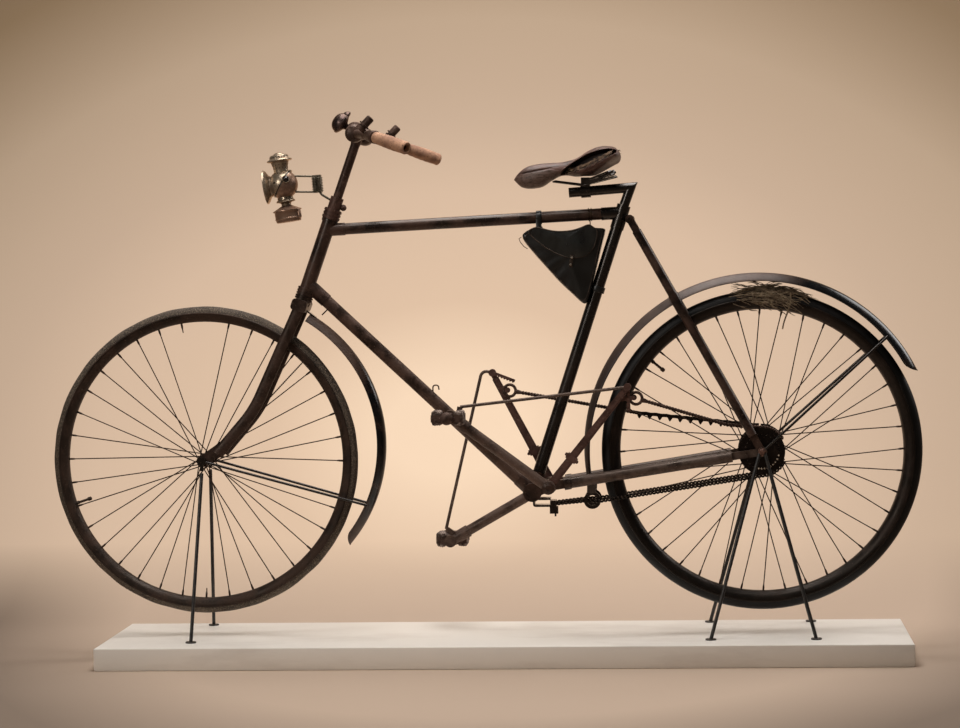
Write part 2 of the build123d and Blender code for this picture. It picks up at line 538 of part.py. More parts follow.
def pedal(side, pedal_at):
    """A rubber block pedal that turns on its pin: a barrel, two end plates and a block each side."""
    barrel = cross_disc(pedal_at, side * PEDAL_IN, side * PEDAL_OUT, 9.0)
    cap = Pos(pedal_at[0], side * PEDAL_OUT, pedal_at[1]) * Sphere(13.0)
    cap &= Pos(pedal_at[0], side * (PEDAL_OUT + 20.0), pedal_at[1]) * Box(40, 40, 40)
    bore = cross_disc(pedal_at, side * (PEDAL_IN - 20.0), side * (PEDAL_OUT - 1.0), PEDAL_PIN_R + RUNNING_FIT)
    body = (barrel + cap) - bore
    length = PEDAL_OUT - PEDAL_IN
    middle = side * (PEDAL_IN + PEDAL_OUT) / 2
    for place in (PEDAL_IN + 1.5, PEDAL_OUT - 1.5):
        body += Pos(pedal_at[0], side * place, pedal_at[1]) * Box(72, 3, 15) - bore
    block = RectangleRounded(BLOCK_LONG, BLOCK_HIGH, 5.0)
    for groove in (-6.0, 0.0, 6.0):
        for face in (1, -1):
            block -= Pos(groove, face * BLOCK_HIGH / 2) * Rectangle(2.0, 4.0)
    block = extrude(Plane.XZ * block, (length - 6.0) / 2, both=True)
    for end in (1, -1):
        body += Pos(pedal_at[0] + end * 24.5, middle, pedal_at[1]) * block
    return body


BLOCK_LONG, BLOCK_HIGH = 23.0, 30.0
RIGHT_LEVER_ANGLE = LEFT_LEVER_ANGLE - TRAVEL
treadle_parts = {}
treadles = (("left", 1, LEFT_LEVER_ANGLE, None), ("right", -1, RIGHT_LEVER_ANGLE, RIGHT_CROOK))
for name, side, angle, crook in treadles:
    lever, arm, tie_from, cap_at = treadle(side, angle)
    treadle_parts[f"{name}_lever"] = lever
    treadle_parts[f"{name}_arm"] = arm
    treadle_parts[f"{name}_tie_rod"] = tie_rod(side, tie_from, cap_at, crook, lever, arm)
    treadle_parts[f"{name}_pedal"] = pedal(side, polar(PIVOT, LEVER_LENGTH, angle))

# ---- chains ---------------------------------------------------------------------------------------
CHAIN_DEPTH, CHAIN_THICK = 6.0, 5.0
WRAP_R = DRUM_R + 1.0 + CHAIN_DEPTH / 2  # the chain's middle where it is wound on a drum


def strip_plane(a, b):
    """The upright plane of a strip that runs back from a to b: x is along it and y is up."""
    along = (b - a).normalized()
    return Plane(origin=a, x_dir=along, z_dir=(Vector(0, 1, 0) - along * along.Y).normalized())


def toothed_strip(a, b, depth, thick):
    """A drive chain: a strip with pointed teeth along its underside."""
    length = (b - a).length
    points = [(length, depth / 2), (0, depth / 2), (0, -depth / 2)]
    for k in range(int(length / CHAIN_PITCH)):
        root = (k + 0.2) * CHAIN_PITCH
        points += [(root, -depth / 2), (root + 9.0, -depth / 2 - TOOTH_HIGH), (root + 15.0, -depth / 2)]
    points.append((length, -depth / 2))
    return extrude(strip_plane(a, b) * Polygon(*points, align=None), thick / 2, both=True)


def wound(side, start, end):
    """The part of a chain that lies on its drum, from one angle to another."""
    section = Pos(WRAP_R, side * DRUM_Y) * Rectangle(CHAIN_DEPTH, CHAIN_THICK)
    return ring_sector(section, REAR, start, end)


#         side, ring's centre, rod's back end, chain's way over the drum, where its teeth point down
CHAINS = (
    ("left", 1, (-303.6, 582.0), (-370.0, 559.0), (-506.0, 511.0), False),
    ("right", -1, (-13.0, 598.0), (-120.0, 568.0), (-470.0, 510.0), True),
)
RING_WIRE_R, SPLICE_LENGTH = 3.6, 26.0
drum_top = (REAR[0] + 6.0, REAR[1] + WRAP_R)
chains = {}
for name, side, ring_at, rod_end, chain_mid, teeth_down in CHAINS:
    ring_y = side * RING_Y
    ring_middle = Plane(origin=at(ring_at, ring_y), x_dir=(1, 0, 0), z_dir=(0, 1, 0))
    run = ring_middle * Torus((RING_OUT + RING_IN) / 2, RING_WIRE_R)
    to_rod = (at(rod_end, ring_y) - at(ring_at, ring_y)).normalized()
    rod_end_y, mid_y = side * (RING_Y - 2.0), side * (DRUM_Y + 2.0)
    neck = at(ring_at, ring_y) + to_rod * RING_OUT
    run += cone(neck - to_rod * 3.0, neck + to_rod * 12.0, 6.0, 3.5)
    run += rod(neck, at(rod_end, rod_end_y), 3.2)
    splice = (at(rod_end, rod_end_y) - neck).normalized() * SPLICE_LENGTH
    run += flat_bar(at(rod_end, rod_end_y) - splice, at(rod_end, rod_end_y), 9.0, 7.0)
    corners = [at(rod_end, rod_end_y), at(chain_mid, mid_y), at(drum_top, side * DRUM_Y)]
    for first, last in zip(corners, corners[1:]):
        if teeth_down:
            run += toothed_strip(first, last, CHAIN_DEPTH, CHAIN_THICK)
        else:
            run += flat_bar(first, last, CHAIN_DEPTH, CHAIN_THICK)
    chains[f"{name}_chain"] = run + wound(side, 81.0, 150.0)
    # The ring hangs on a pin that a cheek plate carries beside the arm.
    pin_at = at(ring_at) - to_rod * (RING_IN - HOOK_PIN_R - 1.0)
    pin_point = (pin_at.X, pin_at.Z)
    arm_face = ARM_Y - ARM_THICK / 2
    hook = cross_disc(pin_point, side * (RING_Y - 4.0), side * arm_face, HOOK_PIN_R)
    hook += cross_disc(pin_point, side * (RING_Y - 6.0), side * (RING_Y - 4.0), HOOK_PIN_R + 2.5)
    arm_angle = (LEFT_LEVER_ANGLE if side > 0 else RIGHT_LEVER_ANGLE) + LEVER_TO_ARM
    arm_point = polar(PIVOT, 250.0, arm_angle)
    cheek_y = side * (arm_face - 1.5)
    hook += flat_bar(at(pin_point, cheek_y), at(arm_point, cheek_y), 10.0, 3.0)
    treadle_parts[f"{name}_arm"] = treadle_parts[f"{name}_arm"] + hook

# The return strand is a ladder chain. It runs from each drum's foot, through a guide ring from its
# outer to its inner side, to a clevis under the bracket.
LADDER_DEPTH, LADDER_PITCH, LADDER_HOLE = 9.0, 11.4, 4.4
GUIDE_AT, GUIDE_Y, GUIDE_OUT, GUIDE_IN, GUIDE_THICK = (-201.5, 352.0), 32.0, 19.5, 11.5, 3.5
CLEVIS_BACK, CLEVIS_FRONT, CLEVIS_Z, CLEVIS_HIGH, CLEVIS_WALL = -106.0, -66.0, 346.5, 20.0, 4.5
YOKE_AT, YOKE_STRAND_Y, YOKE_HALF = (CLEVIS_BACK - 6.0, 343.5), 14.0, 20.0
drum_foot = (REAR[0] + 8.0, REAR[1] - WRAP_R)
RETURN_POINTS = (
    (drum_foot, DRUM_Y),
    ((-217.0, 351.0), 38.5),
    ((-185.0, 351.0), 25.0),
    (YOKE_AT, YOKE_STRAND_Y),
)


def ladder(a, b):
    """A strip with a row of square holes, from a to b."""
    length = (b - a).length
    places = GridLocations(LADDER_PITCH, 0, int(length / LADDER_PITCH), 1)
    holes = places * Rectangle(LADDER_HOLE, LADDER_HOLE)
    strip = Pos(length / 2, 0) * (Rectangle(length, LADDER_DEPTH) - holes)
    return extrude(strip_plane(a, b) * strip, CHAIN_THICK / 2, both=True)


clevis_middle = (CLEVIS_BACK + CLEVIS_FRONT) / 2
clevis_long = CLEVIS_FRONT - CLEVIS_BACK
clevis = Pos(clevis_middle, 0, CLEVIS_Z) * Box(clevis_long, 2 * YOKE_HALF - 6.0, CLEVIS_HIGH)
clevis = fillet(clevis.edges().filter_by(Axis.Y).group_by(Axis.X)[-1], 6.0)
clevis_gap = CLEVIS_HIGH - 2 * CLEVIS_WALL
clevis -= Pos(clevis_middle - CLEVIS_WALL, 0, CLEVIS_Z) * Box(clevis_long, 90.0, clevis_gap)
clevis += Pos(YOKE_AT[0], 0, CLEVIS_Z - 3.0) * Box(14.0, 2 * YOKE_HALF, 15.0)
clevis += Pos(YOKE_AT[0] - 1.0, 0, CLEVIS_Z - 18.0) * Box(19.0, 16.0, 17.0)
clevis_screw = Pos(YOKE_AT[0] - 4.0, 0, CLEVIS_Z - 18.0) * Cylinder(2.2, 30.0)
chain_yoke = clevis + clevis_screw
bracket -= chain_yoke
strands, guides = [], []
for side in (1, -1):
    strand = None
    for (point_a, y_a), (point_b, y_b) in zip(RETURN_POINTS, RETURN_POINTS[1:]):
        run = ladder(at(point_a, side * y_a), at(point_b, side * y_b))
        strand = run if strand is None else strand + run
    strand += wound(side, 205.0, 278.0)
    strands.append(strand - chain_yoke)
    ring = cross_disc(GUIDE_AT, side * GUIDE_Y - GUIDE_THICK / 2, side * GUIDE_Y + GUIDE_THICK / 2, GUIDE_OUT)
    ring -= cross_disc(GUIDE_AT, side * (GUIDE_Y - 9.0), side * (GUIDE_Y + 9.0), GUIDE_IN)
    stay_at = between(chain_front, chain_back, 0.2)
    hanger_top = Vector(stay_at.X, side * stay_at.Y, stay_at.Z)
    ring += flat_bar(at((GUIDE_AT[0] + 2.0, GUIDE_AT[1] + 16.0), side * GUIDE_Y), hanger_top, 20.0, 3.5)
    guides.append(ring - chain_stays - strands[-1])
return_chain = Compound([s for strand in strands for s in strand.solids()])
chain_guides = Compound([s for ring in guides for s in ring.solids()])

# ---- steering -------------------------------------------------------------------------------------
CROWN_TOP, CROWN_FOOT, CROWN_HALF = -9.3, -36.0, 44.0
CLIP_SPLIT, CLIP_TOP = 208.0, 236.0
BLADE_Y, DROPOUT_Y, DROPOUT_WIDTH = 34.0, 41.0, 6.0
head_plane = Plane(origin=at(HEAD_FOOT), x_dir=head_ahead, z_dir=head_up)
crown = head_plane * Pos(0, 0, (CROWN_TOP + CROWN_FOOT) / 2) * Box(36, 2 * CROWN_HALF, CROWN_TOP - CROWN_FOOT)
crown = fillet(crown.edges().filter_by(Axis.Y), 8.0)
race = ribbed(CROWN_TOP - 1.0, -SEAT_GAP, 2)
steerer = rod(on_head(CROWN_TOP), on_head(CLIP_SPLIT), STEERER_R)
blade_path = FilletPolyline(
    at((FRONT[0] - 227.0, FRONT[1] + 344.0), BLADE_Y),
    at((FRONT[0] - 120.0, FRONT[1] + 113.0), BLADE_Y + 3.0),
    at((FRONT[0] - 34.0, FRONT[1] + 15.0), DROPOUT_Y),
    radius=[250.0],
)
blade = sweep(section_plane(blade_path) * Ellipse(8.0, 13.5), path=blade_path)
blade += flat_bar(blade_path @ 0.93, at(FRONT, DROPOUT_Y), 25.0, DROPOUT_WIDTH)
blade += cross_disc(FRONT, DROPOUT_Y - DROPOUT_WIDTH / 2, DROPOUT_Y + DROPOUT_WIDTH / 2, 13.5)
blade -= cross_disc(FRONT, 0, 80, FRONT_WHEEL["axle"])
fork_crown = crown + race + steerer
fork_blades = both_sides(blade - fork_crown)

front_axle = cross_disc(FRONT, -60.0, 60.0, FRONT_WHEEL["axle"])
STUB_Y, STUB_FOOT = 54.0, 22.0
for side in (1, -1):
    front_axle += cross_disc(FRONT, side * 33.4, side * 37.9, 8.0)
    front_axle += cross_disc(FRONT, side * 47.8, side * 59.0, 9.5)
    stub_top, stub_foot = (FRONT[0], FRONT[1] - 6.0), (FRONT[0], FRONT[1] - STUB_FOOT)
    front_axle += rod(at(stub_top, side * STUB_Y), at(stub_foot, side * STUB_Y), 4.0)

FRONT_GUARD_CENTRE, FRONT_GUARD_R = (614.4, 483.5), 347.4
FRONT_GUARD_START, FRONT_GUARD_END = 121.0, 221.5
front_mudguard = ring_sector(
    guard_section(FRONT_GUARD_R, GUARD_HALF), FRONT_GUARD_CENTRE, FRONT_GUARD_START, FRONT_GUARD_END
)
front_mudguard -= guard_tongue(FRONT_GUARD_CENTRE, FRONT_GUARD_R, FRONT_GUARD_END, GUARD_HALF, 1)
front_mudguard = largest(front_mudguard - fork_crown)
front_stay_point = polar(FRONT_GUARD_CENTRE, FRONT_GUARD_R - 14.0, 204.6)
front_stay = rod(at((FRONT[0] - 6.0, FRONT[1] - 2.0), 46.2), at(front_stay_point, GUARD_HALF - 1.0), 3.0)
front_stay += eye(FRONT, 46.0, 2.8, 8.5, FRONT_WHEEL["axle"])
front_stay -= cross_disc(FRONT, 0, 100, FRONT_WHEEL["axle"])
front_stay = front_stay - front_axle - front_mudguard - fork_blades
tab_foot = at(polar(FRONT_GUARD_CENTRE, FRONT_GUARD_R - 1.0, 123.5))
guard_tab = flat_bar(on_head(-30.0, -14.0), tab_foot, 3.0, 16.0)
guard_tab = guard_tab - fork_crown - front_mudguard
front_guard_stays = Compound([*both_sides(largest(front_stay)).solids(), largest(guard_tab)])

STEM_R, STEM_TOP = 10.5, 372.0
head_clip = ribbed(HEAD_LENGTH + SEAT_GAP, CLIP_SPLIT, 3)
head_clip -= rod(on_head(100), on_head(300), STEERER_R + RUNNING_FIT)
head_clip += rod(on_head(CLIP_SPLIT), on_head(CLIP_TOP), 15.0)
head_clip -= rod(on_head(CLIP_SPLIT), on_head(300), STEM_R + RUNNING_FIT)
clip_ball = on_head(218.0, -20.0)
head_clip += Pos(*clip_ball) * Sphere(7.5)
head_clip += rod(on_head(218.0, -13.0), clip_ball, 5.0)
stem = rod(on_head(CLIP_SPLIT), on_head(STEM_TOP), STEM_R)
LUG = at((327.3, 1196.0))
bar_lug = cross_disc((LUG.X, LUG.Z), -24.0, 24.0, 17.0) + Pos(*LUG) * Sphere(20.0)
stem += bar_lug
stem += rod(on_head(STEM_TOP - 20.0), LUG, 12.0)

BAR_R, GRIP_R, BAR_TWIST = 9.8, 13.5, -1.0
bar_side = [LUG, LUG + Vector(0, 100, 0), at((264.0, 1174.0), 225.0), at((171.5, 1139.5), 292.0)]
bar_half = bent_rod(bar_side, [60.0, 70.0], BAR_R)
grip_line = (bar_side[3] - bar_side[2]).normalized()
grip_end = bar_side[3] + grip_line * 4.0
grip_start = grip_end - grip_line * 92.0
grip = rod(grip_start, grip_end, GRIP_R) - bar_half - rod(grip_end - grip_line * 14.0, grip_end, 8.5)
ferrule = cone(grip_start - grip_line * 18.0, grip_start, BAR_R + 0.4, GRIP_R - 1.0) - bar_half
twist_axis = Axis(tuple(LUG), tuple(head_up))


def twisted(shape):
    return shape.rotate(twist_axis, BAR_TWIST)


handlebar = twisted(both_sides(bar_half + ferrule)) - stem
grips = twisted(both_sides(grip))
post_foot = at((275.0, 1180.0), 205.0)
post_way = Vector(-0.70, 0.0, 0.71)
bar_post = rod(post_foot + post_way * 6.0, post_foot + post_way * 33.0, 7.5)
bar_post += rod(post_foot + post_way * 12.0, post_foot + post_way * 16.0, 11.0)
bar_posts = twisted(both_sides(bar_post)) - handlebar

BELL = LUG + Vector(28.0, 16.0, 17.0)
bell_up = Vector(0.78, 0.15, 0.60).normalized()
BELL_R, BELL_RIM = 25.0, 4.0
bell_plane = Plane(origin=BELL, x_dir=bell_up.cross(Vector(0, 1, 0)), z_dir=bell_up)
dome = Sphere(BELL_R) & Pos(0, 0, BELL_R / 2) * Box(3 * BELL_R, 3 * BELL_R, BELL_R)
dome += Pos(0, 0, -BELL_RIM / 2) * Cylinder(BELL_R + 0.8, BELL_RIM)
dome += Pos(0, 0, -BELL_RIM) * Cylinder(BELL_R - 5.0, 5.0)
striker = Pos(-BELL_R - 1.5, 0, 1.0) * Sphere(7.5)
bell = bell_plane * (dome + striker)
bell += rod(BELL - bell_up * 3.0, LUG, 6.0)
bell -= stem

# ---- oil lamp -------------------------------------------------------------------------------------
LAMP = at((492.6, 1076.9))
LAMP_TILT = 8.0
lamp_plane = Plane(
    origin=LAMP,
    x_dir=(math.cos(math.radians(LAMP_TILT)), 0, -math.sin(math.radians(LAMP_TILT))),
    z_dir=(math.sin(math.radians(LAMP_TILT)), 0, math.cos(math.radians(LAMP_TILT))),
)
#               height, radius, from the reservoir's foot to the chimney's cap
LAMP_PROFILE = [
    (-86.0, 0.0),
    (-86.0, 29.5),
    (-64.0, 30.5),
    (-60.0, 33.0),
    (-52.0, 14.0),
    (-47.0, 12.0),
    (-42.0, 22.0),
    (-37.0, 20.0),
    (-26.0, 16.9),
]
LAMP_TOP_PROFILE = [
    (24.0, 19.6),
    (44.0, 18.0),
    (50.0, 29.0),
    (55.0, 29.0),
    (64.0, 18.0),
    (70.0, 8.0),
    (71.0, 0.0),
]
lower = Polyline(*[(r, h) for h, r in LAMP_PROFILE])
belly = ThreePointArc((16.9, -26.0), (31.0, 0.0), (19.6, 24.0))
upper = Polyline(*[(r, h) for h, r in LAMP_TOP_PROFILE])
spine = Line((0.0, 71.0), (0.0, -86.0))
lamp_face = make_face([lower, belly, upper, spine])
lamp_body = lamp_plane * revolve(Plane.XZ * lamp_face, axis=Axis.Z)
LENS_R, LENS_AHEAD = 37.0, 40.0
HOOD_BACK, BEZEL_WIDTH, BEZEL_DEPTH, LENS_DEPTH = 16.0, 4.0, 5.0, 3.0


def lamp_ahead(distance):
    """A point on the lamp's optical axis."""
    return LAMP + lamp_plane.x_dir * distance


lamp_body += cone(lamp_ahead(HOOD_BACK), lamp_ahead(LENS_AHEAD), 24.0, LENS_R - 3.0)
lamp_body += rod(lamp_ahead(LENS_AHEAD), lamp_ahead(LENS_AHEAD + BEZEL_DEPTH), LENS_R)
lamp_body -= rod(lamp_ahead(LENS_AHEAD), lamp_ahead(LENS_AHEAD + BEZEL_DEPTH), LENS_R - BEZEL_WIDTH)
lamp_lens = rod(lamp_ahead(LENS_AHEAD), lamp_ahead(LENS_AHEAD + LENS_DEPTH), LENS_R - BEZEL_WIDTH)

# Air holes ring the chimney's neck and cap. A raised band, a side jewel and a filler cap finish it.
#            height, radius there, holes, their radius
AIR_HOLES = ((34.0, 18.8, 12, 1.7), (58.5, 24.5, 14, 1.6), (-40.0, 21.4, 12, 1.5))
AIR_HOLE_DEEP = 3.0
BAND_R, BAND_WIDTH, BAND_TILT = 32.0, 3.0, 58.0
JEWEL_BACK, JEWEL_UP, JEWEL_R = 17.0, 20.0, 7.0  # degrees behind and above the lamp's side
BELLY_R = 31.0
lamp_body += lamp_plane * (Rot(0, BAND_TILT, 0) * Cylinder(BAND_R, BAND_WIDTH))
for side in (1, -1):
    sideways = Rot(0, 0, side * (90.0 + JEWEL_BACK)) * Rot(0, 90.0 - JEWEL_UP, 0)
    lamp_body += lamp_plane * (sideways * Pos(0, 0, BELLY_R - 3.0) * Cylinder(JEWEL_R, 9.0))
lamp_body += lamp_plane * (Pos(-27.0, 12.0, -66.0) * Cylinder(5.0, 12.0))
band_top = Vector(-math.cos(math.radians(BAND_TILT)), 0, math.sin(math.radians(BAND_TILT))) * (BAND_R + 2.0)
lamp_body += lamp_plane * (Pos(*band_top) * Rot(90, 0, 0) * Cylinder(3.2, 16.0))
for height, radius, count, hole_r in AIR_HOLES:
    for k in range(count):
        drilled = Rot(0, 0, (k + 0.5) * 360.0 / count) * Pos(radius, 0, height) * Rot(0, 90, 0)
        lamp_body -= lamp_plane * (drilled * Cylinder(hole_r, AIR_HOLE_DEEP))
lamp_lens -= lamp_body

# The lamp hangs on a parallel wire bracket with a block of springs that takes up the jolts.
BLOCK = at((414.0, 1077.0))
BLOCK_TILT, BLOCK_HEIGHT, SPRING_R = 4.0, 40.0, 3.6
block_place = Pos(*BLOCK) * Rot(0, BLOCK_TILT, 0)
lamp_bracket = block_place * Box(11, 22, BLOCK_HEIGHT - 6.0)
for x in (-5.5, 5.5):
    for y in (-8.5, 0.0, 8.5):
        lamp_bracket += block_place * Pos(x, y, 0) * Cylinder(SPRING_R, BLOCK_HEIGHT - 4.0)
for end in (1, -1):
    lamp_bracket += block_place * Pos(0, 0, end * (BLOCK_HEIGHT / 2 - 1.5)) * Box(18, 26, 3.0)
lamp_bracket += rod(at((470.0, 1096.0)), at((414.0, 1094.0)), 2.2)
lamp_bracket += rod(at((470.0, 1060.0)), at((414.0, 1058.5)), 2.2)
lamp_bracket += bent_rod([at((410.0, 1060.0)), at((404.0, 1052.0)), on_head(226.0, 14.5)], [6.0], 2.6)
lamp_bracket = lamp_bracket - lamp_body - head_clip

# ---- plinth and stand rods ------------------------------------------------------------------------
plinth = Pos(0, PLINTH_SHIFT_Y, PLINTH_HEIGHT / 2) * Box(PLINTH_LENGTH, PLINTH_WIDTH, PLINTH_HEIGHT)
ROD_R, FOOT_R, FOOT_HEIGHT, FOOT_Y = 4.0, 12.0, 3.0, 147.5
FRONT_FOOT_X = 700.0
REAR_FEET_X = (-463.0, -695.0)
STEER_GAP = 5.0  # below the axle's stubs, so that the wheel can be steered


def stand_rod(top, foot_x, side):
    foot = Vector(foot_x, side * FOOT_Y, PLINTH_HEIGHT)
    shape = rod(foot, top, ROD_R) & Pos(0, 0, 500 + PLINTH_HEIGHT) * Box(4000, 2000, 1000)
    return shape + rod(foot, foot + Vector(0, 0, FOOT_HEIGHT), FOOT_R)


front_rods = []
for side in (1, -1):
    top = at((FRONT[0], FRONT[1] - STUB_FOOT - STEER_GAP), side * (STUB_Y + 2.0))
    front_rods.append(stand_rod(top, FRONT_FOOT_X, side))
front_stand_rods = Compound([s for shape in front_rods for s in shape.solids()])
rear_rods = []
for side in (1, -1):
    for foot_x, lean in zip(REAR_FEET_X, (6.0, -6.0)):
        top = at((REAR[0] + lean, REAR[1] - 3.0), side * 69.0)
        rear_rods.append(stand_rod(top, foot_x, side) - rear_axle)
rear_stand_rods = Compound([s for shape in rear_rods for s in shape.solids()])

parts = {
    "front_tyre": front_tyre,
    "front_rim": front_rim,
    "front_hub": front_hub,
    "front_spokes": front_spokes,
    "rear_tyre": rear_tyre,
    "rear_rim": rear_rim,
    "rear_hub": rear_hub,
    "rear_spokes": rear_spokes,
    "straw_bundle": straw_bundle,
    "left_drum": left_drum,
    "right_drum": right_drum,
    "head_tube": head_tube,
    "bottom_bracket": bracket,
    "seat_lug": seat_lug,
    "top_tube": top_tube,
    "down_tube": down_tube,
    "seat_tube": seat_tube,
    "rear_axle": rear_axle,
    "chain_stays": chain_stays,
    "seat_stays": seat_stays,
    "seat_pillar": seat_pillar - seat_lug,
    "saddle_frame": saddle_frame,
    "saddle": saddle,
    "tool_bag": tool_bag,
    "bag_straps": bag_straps,
    "rear_mudguard": rear_mudguard,
    "rear_guard_stays": rear_guard_stays,
    "return_chain": return_chain,
    "chain_yoke": chain_yoke,
    "chain_guides": chain_guides,
    **chains,
    **treadle_parts,
    "fork_crown": fork_crown,
    "fork_blades": fork_blades,
    "front_axle": front_axle,
    "front_mudguard": front_mudguard,
    "front_guard_stays": front_guard_stays,
    "head_clip": head_clip,
    "stem": stem,
    "handlebar": handlebar,
    "grips": grips,
    "bar_posts": bar_posts,
    "bell": bell,
    "lamp_body": lamp_body,
    "lamp_lens": lamp_lens,
    "lamp_bracket": lamp_bracket,
    "plinth": plinth,
    "front_stand_rods": front_stand_rods,
    "rear_stand_rods": rear_stand_rods,
}

os.makedirs("parts", exist_ok=True)
for node, shape in parts.items():
    export_step(shape, f"parts/{node}.step")
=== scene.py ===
import math

import bmesh
import bpy
import numpy as np
from mathutils import Matrix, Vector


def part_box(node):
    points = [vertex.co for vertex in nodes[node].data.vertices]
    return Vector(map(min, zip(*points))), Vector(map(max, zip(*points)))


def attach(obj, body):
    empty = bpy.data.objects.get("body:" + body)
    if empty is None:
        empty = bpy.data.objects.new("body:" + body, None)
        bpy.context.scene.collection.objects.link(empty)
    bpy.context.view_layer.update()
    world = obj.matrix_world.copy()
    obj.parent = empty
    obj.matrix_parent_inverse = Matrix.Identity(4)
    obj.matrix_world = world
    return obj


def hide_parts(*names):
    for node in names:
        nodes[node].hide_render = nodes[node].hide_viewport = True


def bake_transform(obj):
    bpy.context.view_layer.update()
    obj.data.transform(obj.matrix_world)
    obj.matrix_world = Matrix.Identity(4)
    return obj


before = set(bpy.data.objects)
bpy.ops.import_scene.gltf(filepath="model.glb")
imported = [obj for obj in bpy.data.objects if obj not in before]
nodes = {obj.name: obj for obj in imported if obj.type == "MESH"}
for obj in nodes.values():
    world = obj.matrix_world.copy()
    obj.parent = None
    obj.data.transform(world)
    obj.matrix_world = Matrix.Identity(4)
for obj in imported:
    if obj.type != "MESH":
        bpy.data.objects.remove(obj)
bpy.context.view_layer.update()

# ---- studio -------------------------------------------------------------------------------------
# A lever-driven bicycle of the 1890s is shown from its left side in a plain studio, on paper that
# runs level under the plinth and curves up behind it and, far off, in front.
CAMERA_AT = (-0.4461, 6.2002, 0.9078)
CAMERA_HEADING, CAMERA_DOWN, CAMERA_ROLL = 184.576, 2.265, -0.982  # degrees
CAMERA_LENS, CAMERA_SENSOR = 102.83, 36.0
camera = bpy.data.objects.new("camera", bpy.data.cameras.new("camera"))
camera.data.lens = CAMERA_LENS
camera.data.sensor_width = CAMERA_SENSOR
camera.location = CAMERA_AT
turns = ((CAMERA_HEADING, "Z"), (90.0 - CAMERA_DOWN, "X"), (CAMERA_ROLL, "Z"))
camera_turn = Matrix.Identity(3)
for degrees, axis in turns:
    camera_turn = camera_turn @ Matrix.Rotation(math.radians(degrees), 3, axis)
camera.rotation_euler = camera_turn.to_euler()
bpy.context.collection.objects.link(camera)
bpy.context.scene.camera = camera
bpy.context.scene.view_settings.view_transform = "Standard"


def new_material(name):
    """A node material: itself, its node tree, its shader and its object-space place in metres."""
    material = bpy.data.materials.new(name)
    material.use_nodes = True
    tree = material.node_tree
    place = tree.nodes.new("ShaderNodeTexCoord")
    return material, tree, tree.nodes["Principled BSDF"], place.outputs["Object"]


def noise(tree, place, scale, detail=6.0, roughness=0.6, stretch=(1.0, 1.0, 1.0), turn=(0.0, 0.0, 0.0)):
    """Cloudy noise with about scale blotches to the metre, stretched and turned (degrees) as asked."""
    mapping = tree.nodes.new("ShaderNodeMapping")
    mapping.inputs["Scale"].default_value = stretch
    mapping.inputs["Rotation"].default_value = [math.radians(a) for a in turn]
    cloud = tree.nodes.new("ShaderNodeTexNoise")
    cloud.inputs["Scale"].default_value = scale
    cloud.inputs["Detail"].default_value = detail
    cloud.inputs["Roughness"].default_value = roughness
    tree.links.new(place, mapping.inputs["Vector"])
    tree.links.new(mapping.outputs["Vector"], cloud.inputs["Vector"])
    return cloud.outputs["Fac"]


def ramp(tree, factor, stops):
    """A colour (or a grey value) read off a factor: stops are (place, value)."""
    node = tree.nodes.new("ShaderNodeValToRGB")
    while len(node.color_ramp.elements) < len(stops):
        node.color_ramp.elements.new(0.5)
    for element, (at, value) in zip(node.color_ramp.elements, stops):
        element.position = at
        colour = (value, value, value) if isinstance(value, float) else value
        element.color = (*colour, 1.0)
    tree.links.new(factor, node.inputs["Fac"])
    return node.outputs["Color"]


def blended(tree, factor, first, second):
    """A mix of two colours or sockets by a factor."""
    node = tree.nodes.new("ShaderNodeMix")
    node.data_type = "RGBA"
    tree.links.new(factor, node.inputs["Factor"])
    for name, value in (("A", first), ("B", second)):
        socket = [s for s in node.inputs if s.name == name and s.type == "RGBA"][0]
        if isinstance(value, tuple):
            socket.default_value = (*value, 1.0)
        else:
            tree.links.new(value, socket)
    return [s for s in node.outputs if s.type == "RGBA"][0]


def relief(tree, shader, height, strength, distance):
    """Small unevenness: height from 0 to 1 stands distance metres proud."""
    bump = tree.nodes.new("ShaderNodeBump")
    bump.inputs["Strength"].default_value = strength
    bump.inputs["Distance"].default_value = distance
    tree.links.new(height, bump.inputs["Height"])
    tree.links.new(bump.outputs["Normal"], shader.inputs["Normal"])


def surface(tree, shader, colour, roughness):
    """Gives a shader its colour, and a roughness that is one number or follows a pattern."""
    tree.links.new(colour, shader.inputs["Base Color"])
    if isinstance(roughness, float):
        shader.inputs["Roughness"].default_value = roughness
    else:
        tree.links.new(roughness, shader.inputs["Roughness"])


def between(tree, value, low, high):
    """How far a value is on its way from low to high, held between 0 and 1."""
    node = tree.nodes.new("ShaderNodeMapRange")
    node.inputs["From Min"].default_value = low
    node.inputs["From Max"].default_value = high
    tree.links.new(value, node.inputs["Value"])
    return node.outputs["Result"]


def axes(tree, place):
    """The x, y and z of a place, by name."""
    node = tree.nodes.new("ShaderNodeSeparateXYZ")
    tree.links.new(place, node.inputs["Vector"])
    return node.outputs


def from_centre(tree, place, centre, reach):
    """A place counted in reaches from a centre: (place - centre) / reach along x, y and z."""
    mapping = tree.nodes.new("ShaderNodeMapping")
    mapping.vector_type = "TEXTURE"
    mapping.inputs["Location"].default_value = centre
    mapping.inputs["Scale"].default_value = reach
    tree.links.new(place, mapping.inputs["Vector"])
    return mapping.outputs["Vector"]


def outside(tree, place, centre, reach, starts, whole):
    """How far a place is outside an oval: 0 up to starts reaches from its centre, 1 from whole."""
    away = tree.nodes.new("ShaderNodeVectorMath")
    away.operation = "LENGTH"
    tree.links.new(from_centre(tree, place, centre, reach), away.inputs[0])
    return between(tree, away.outputs["Value"], starts, whole)


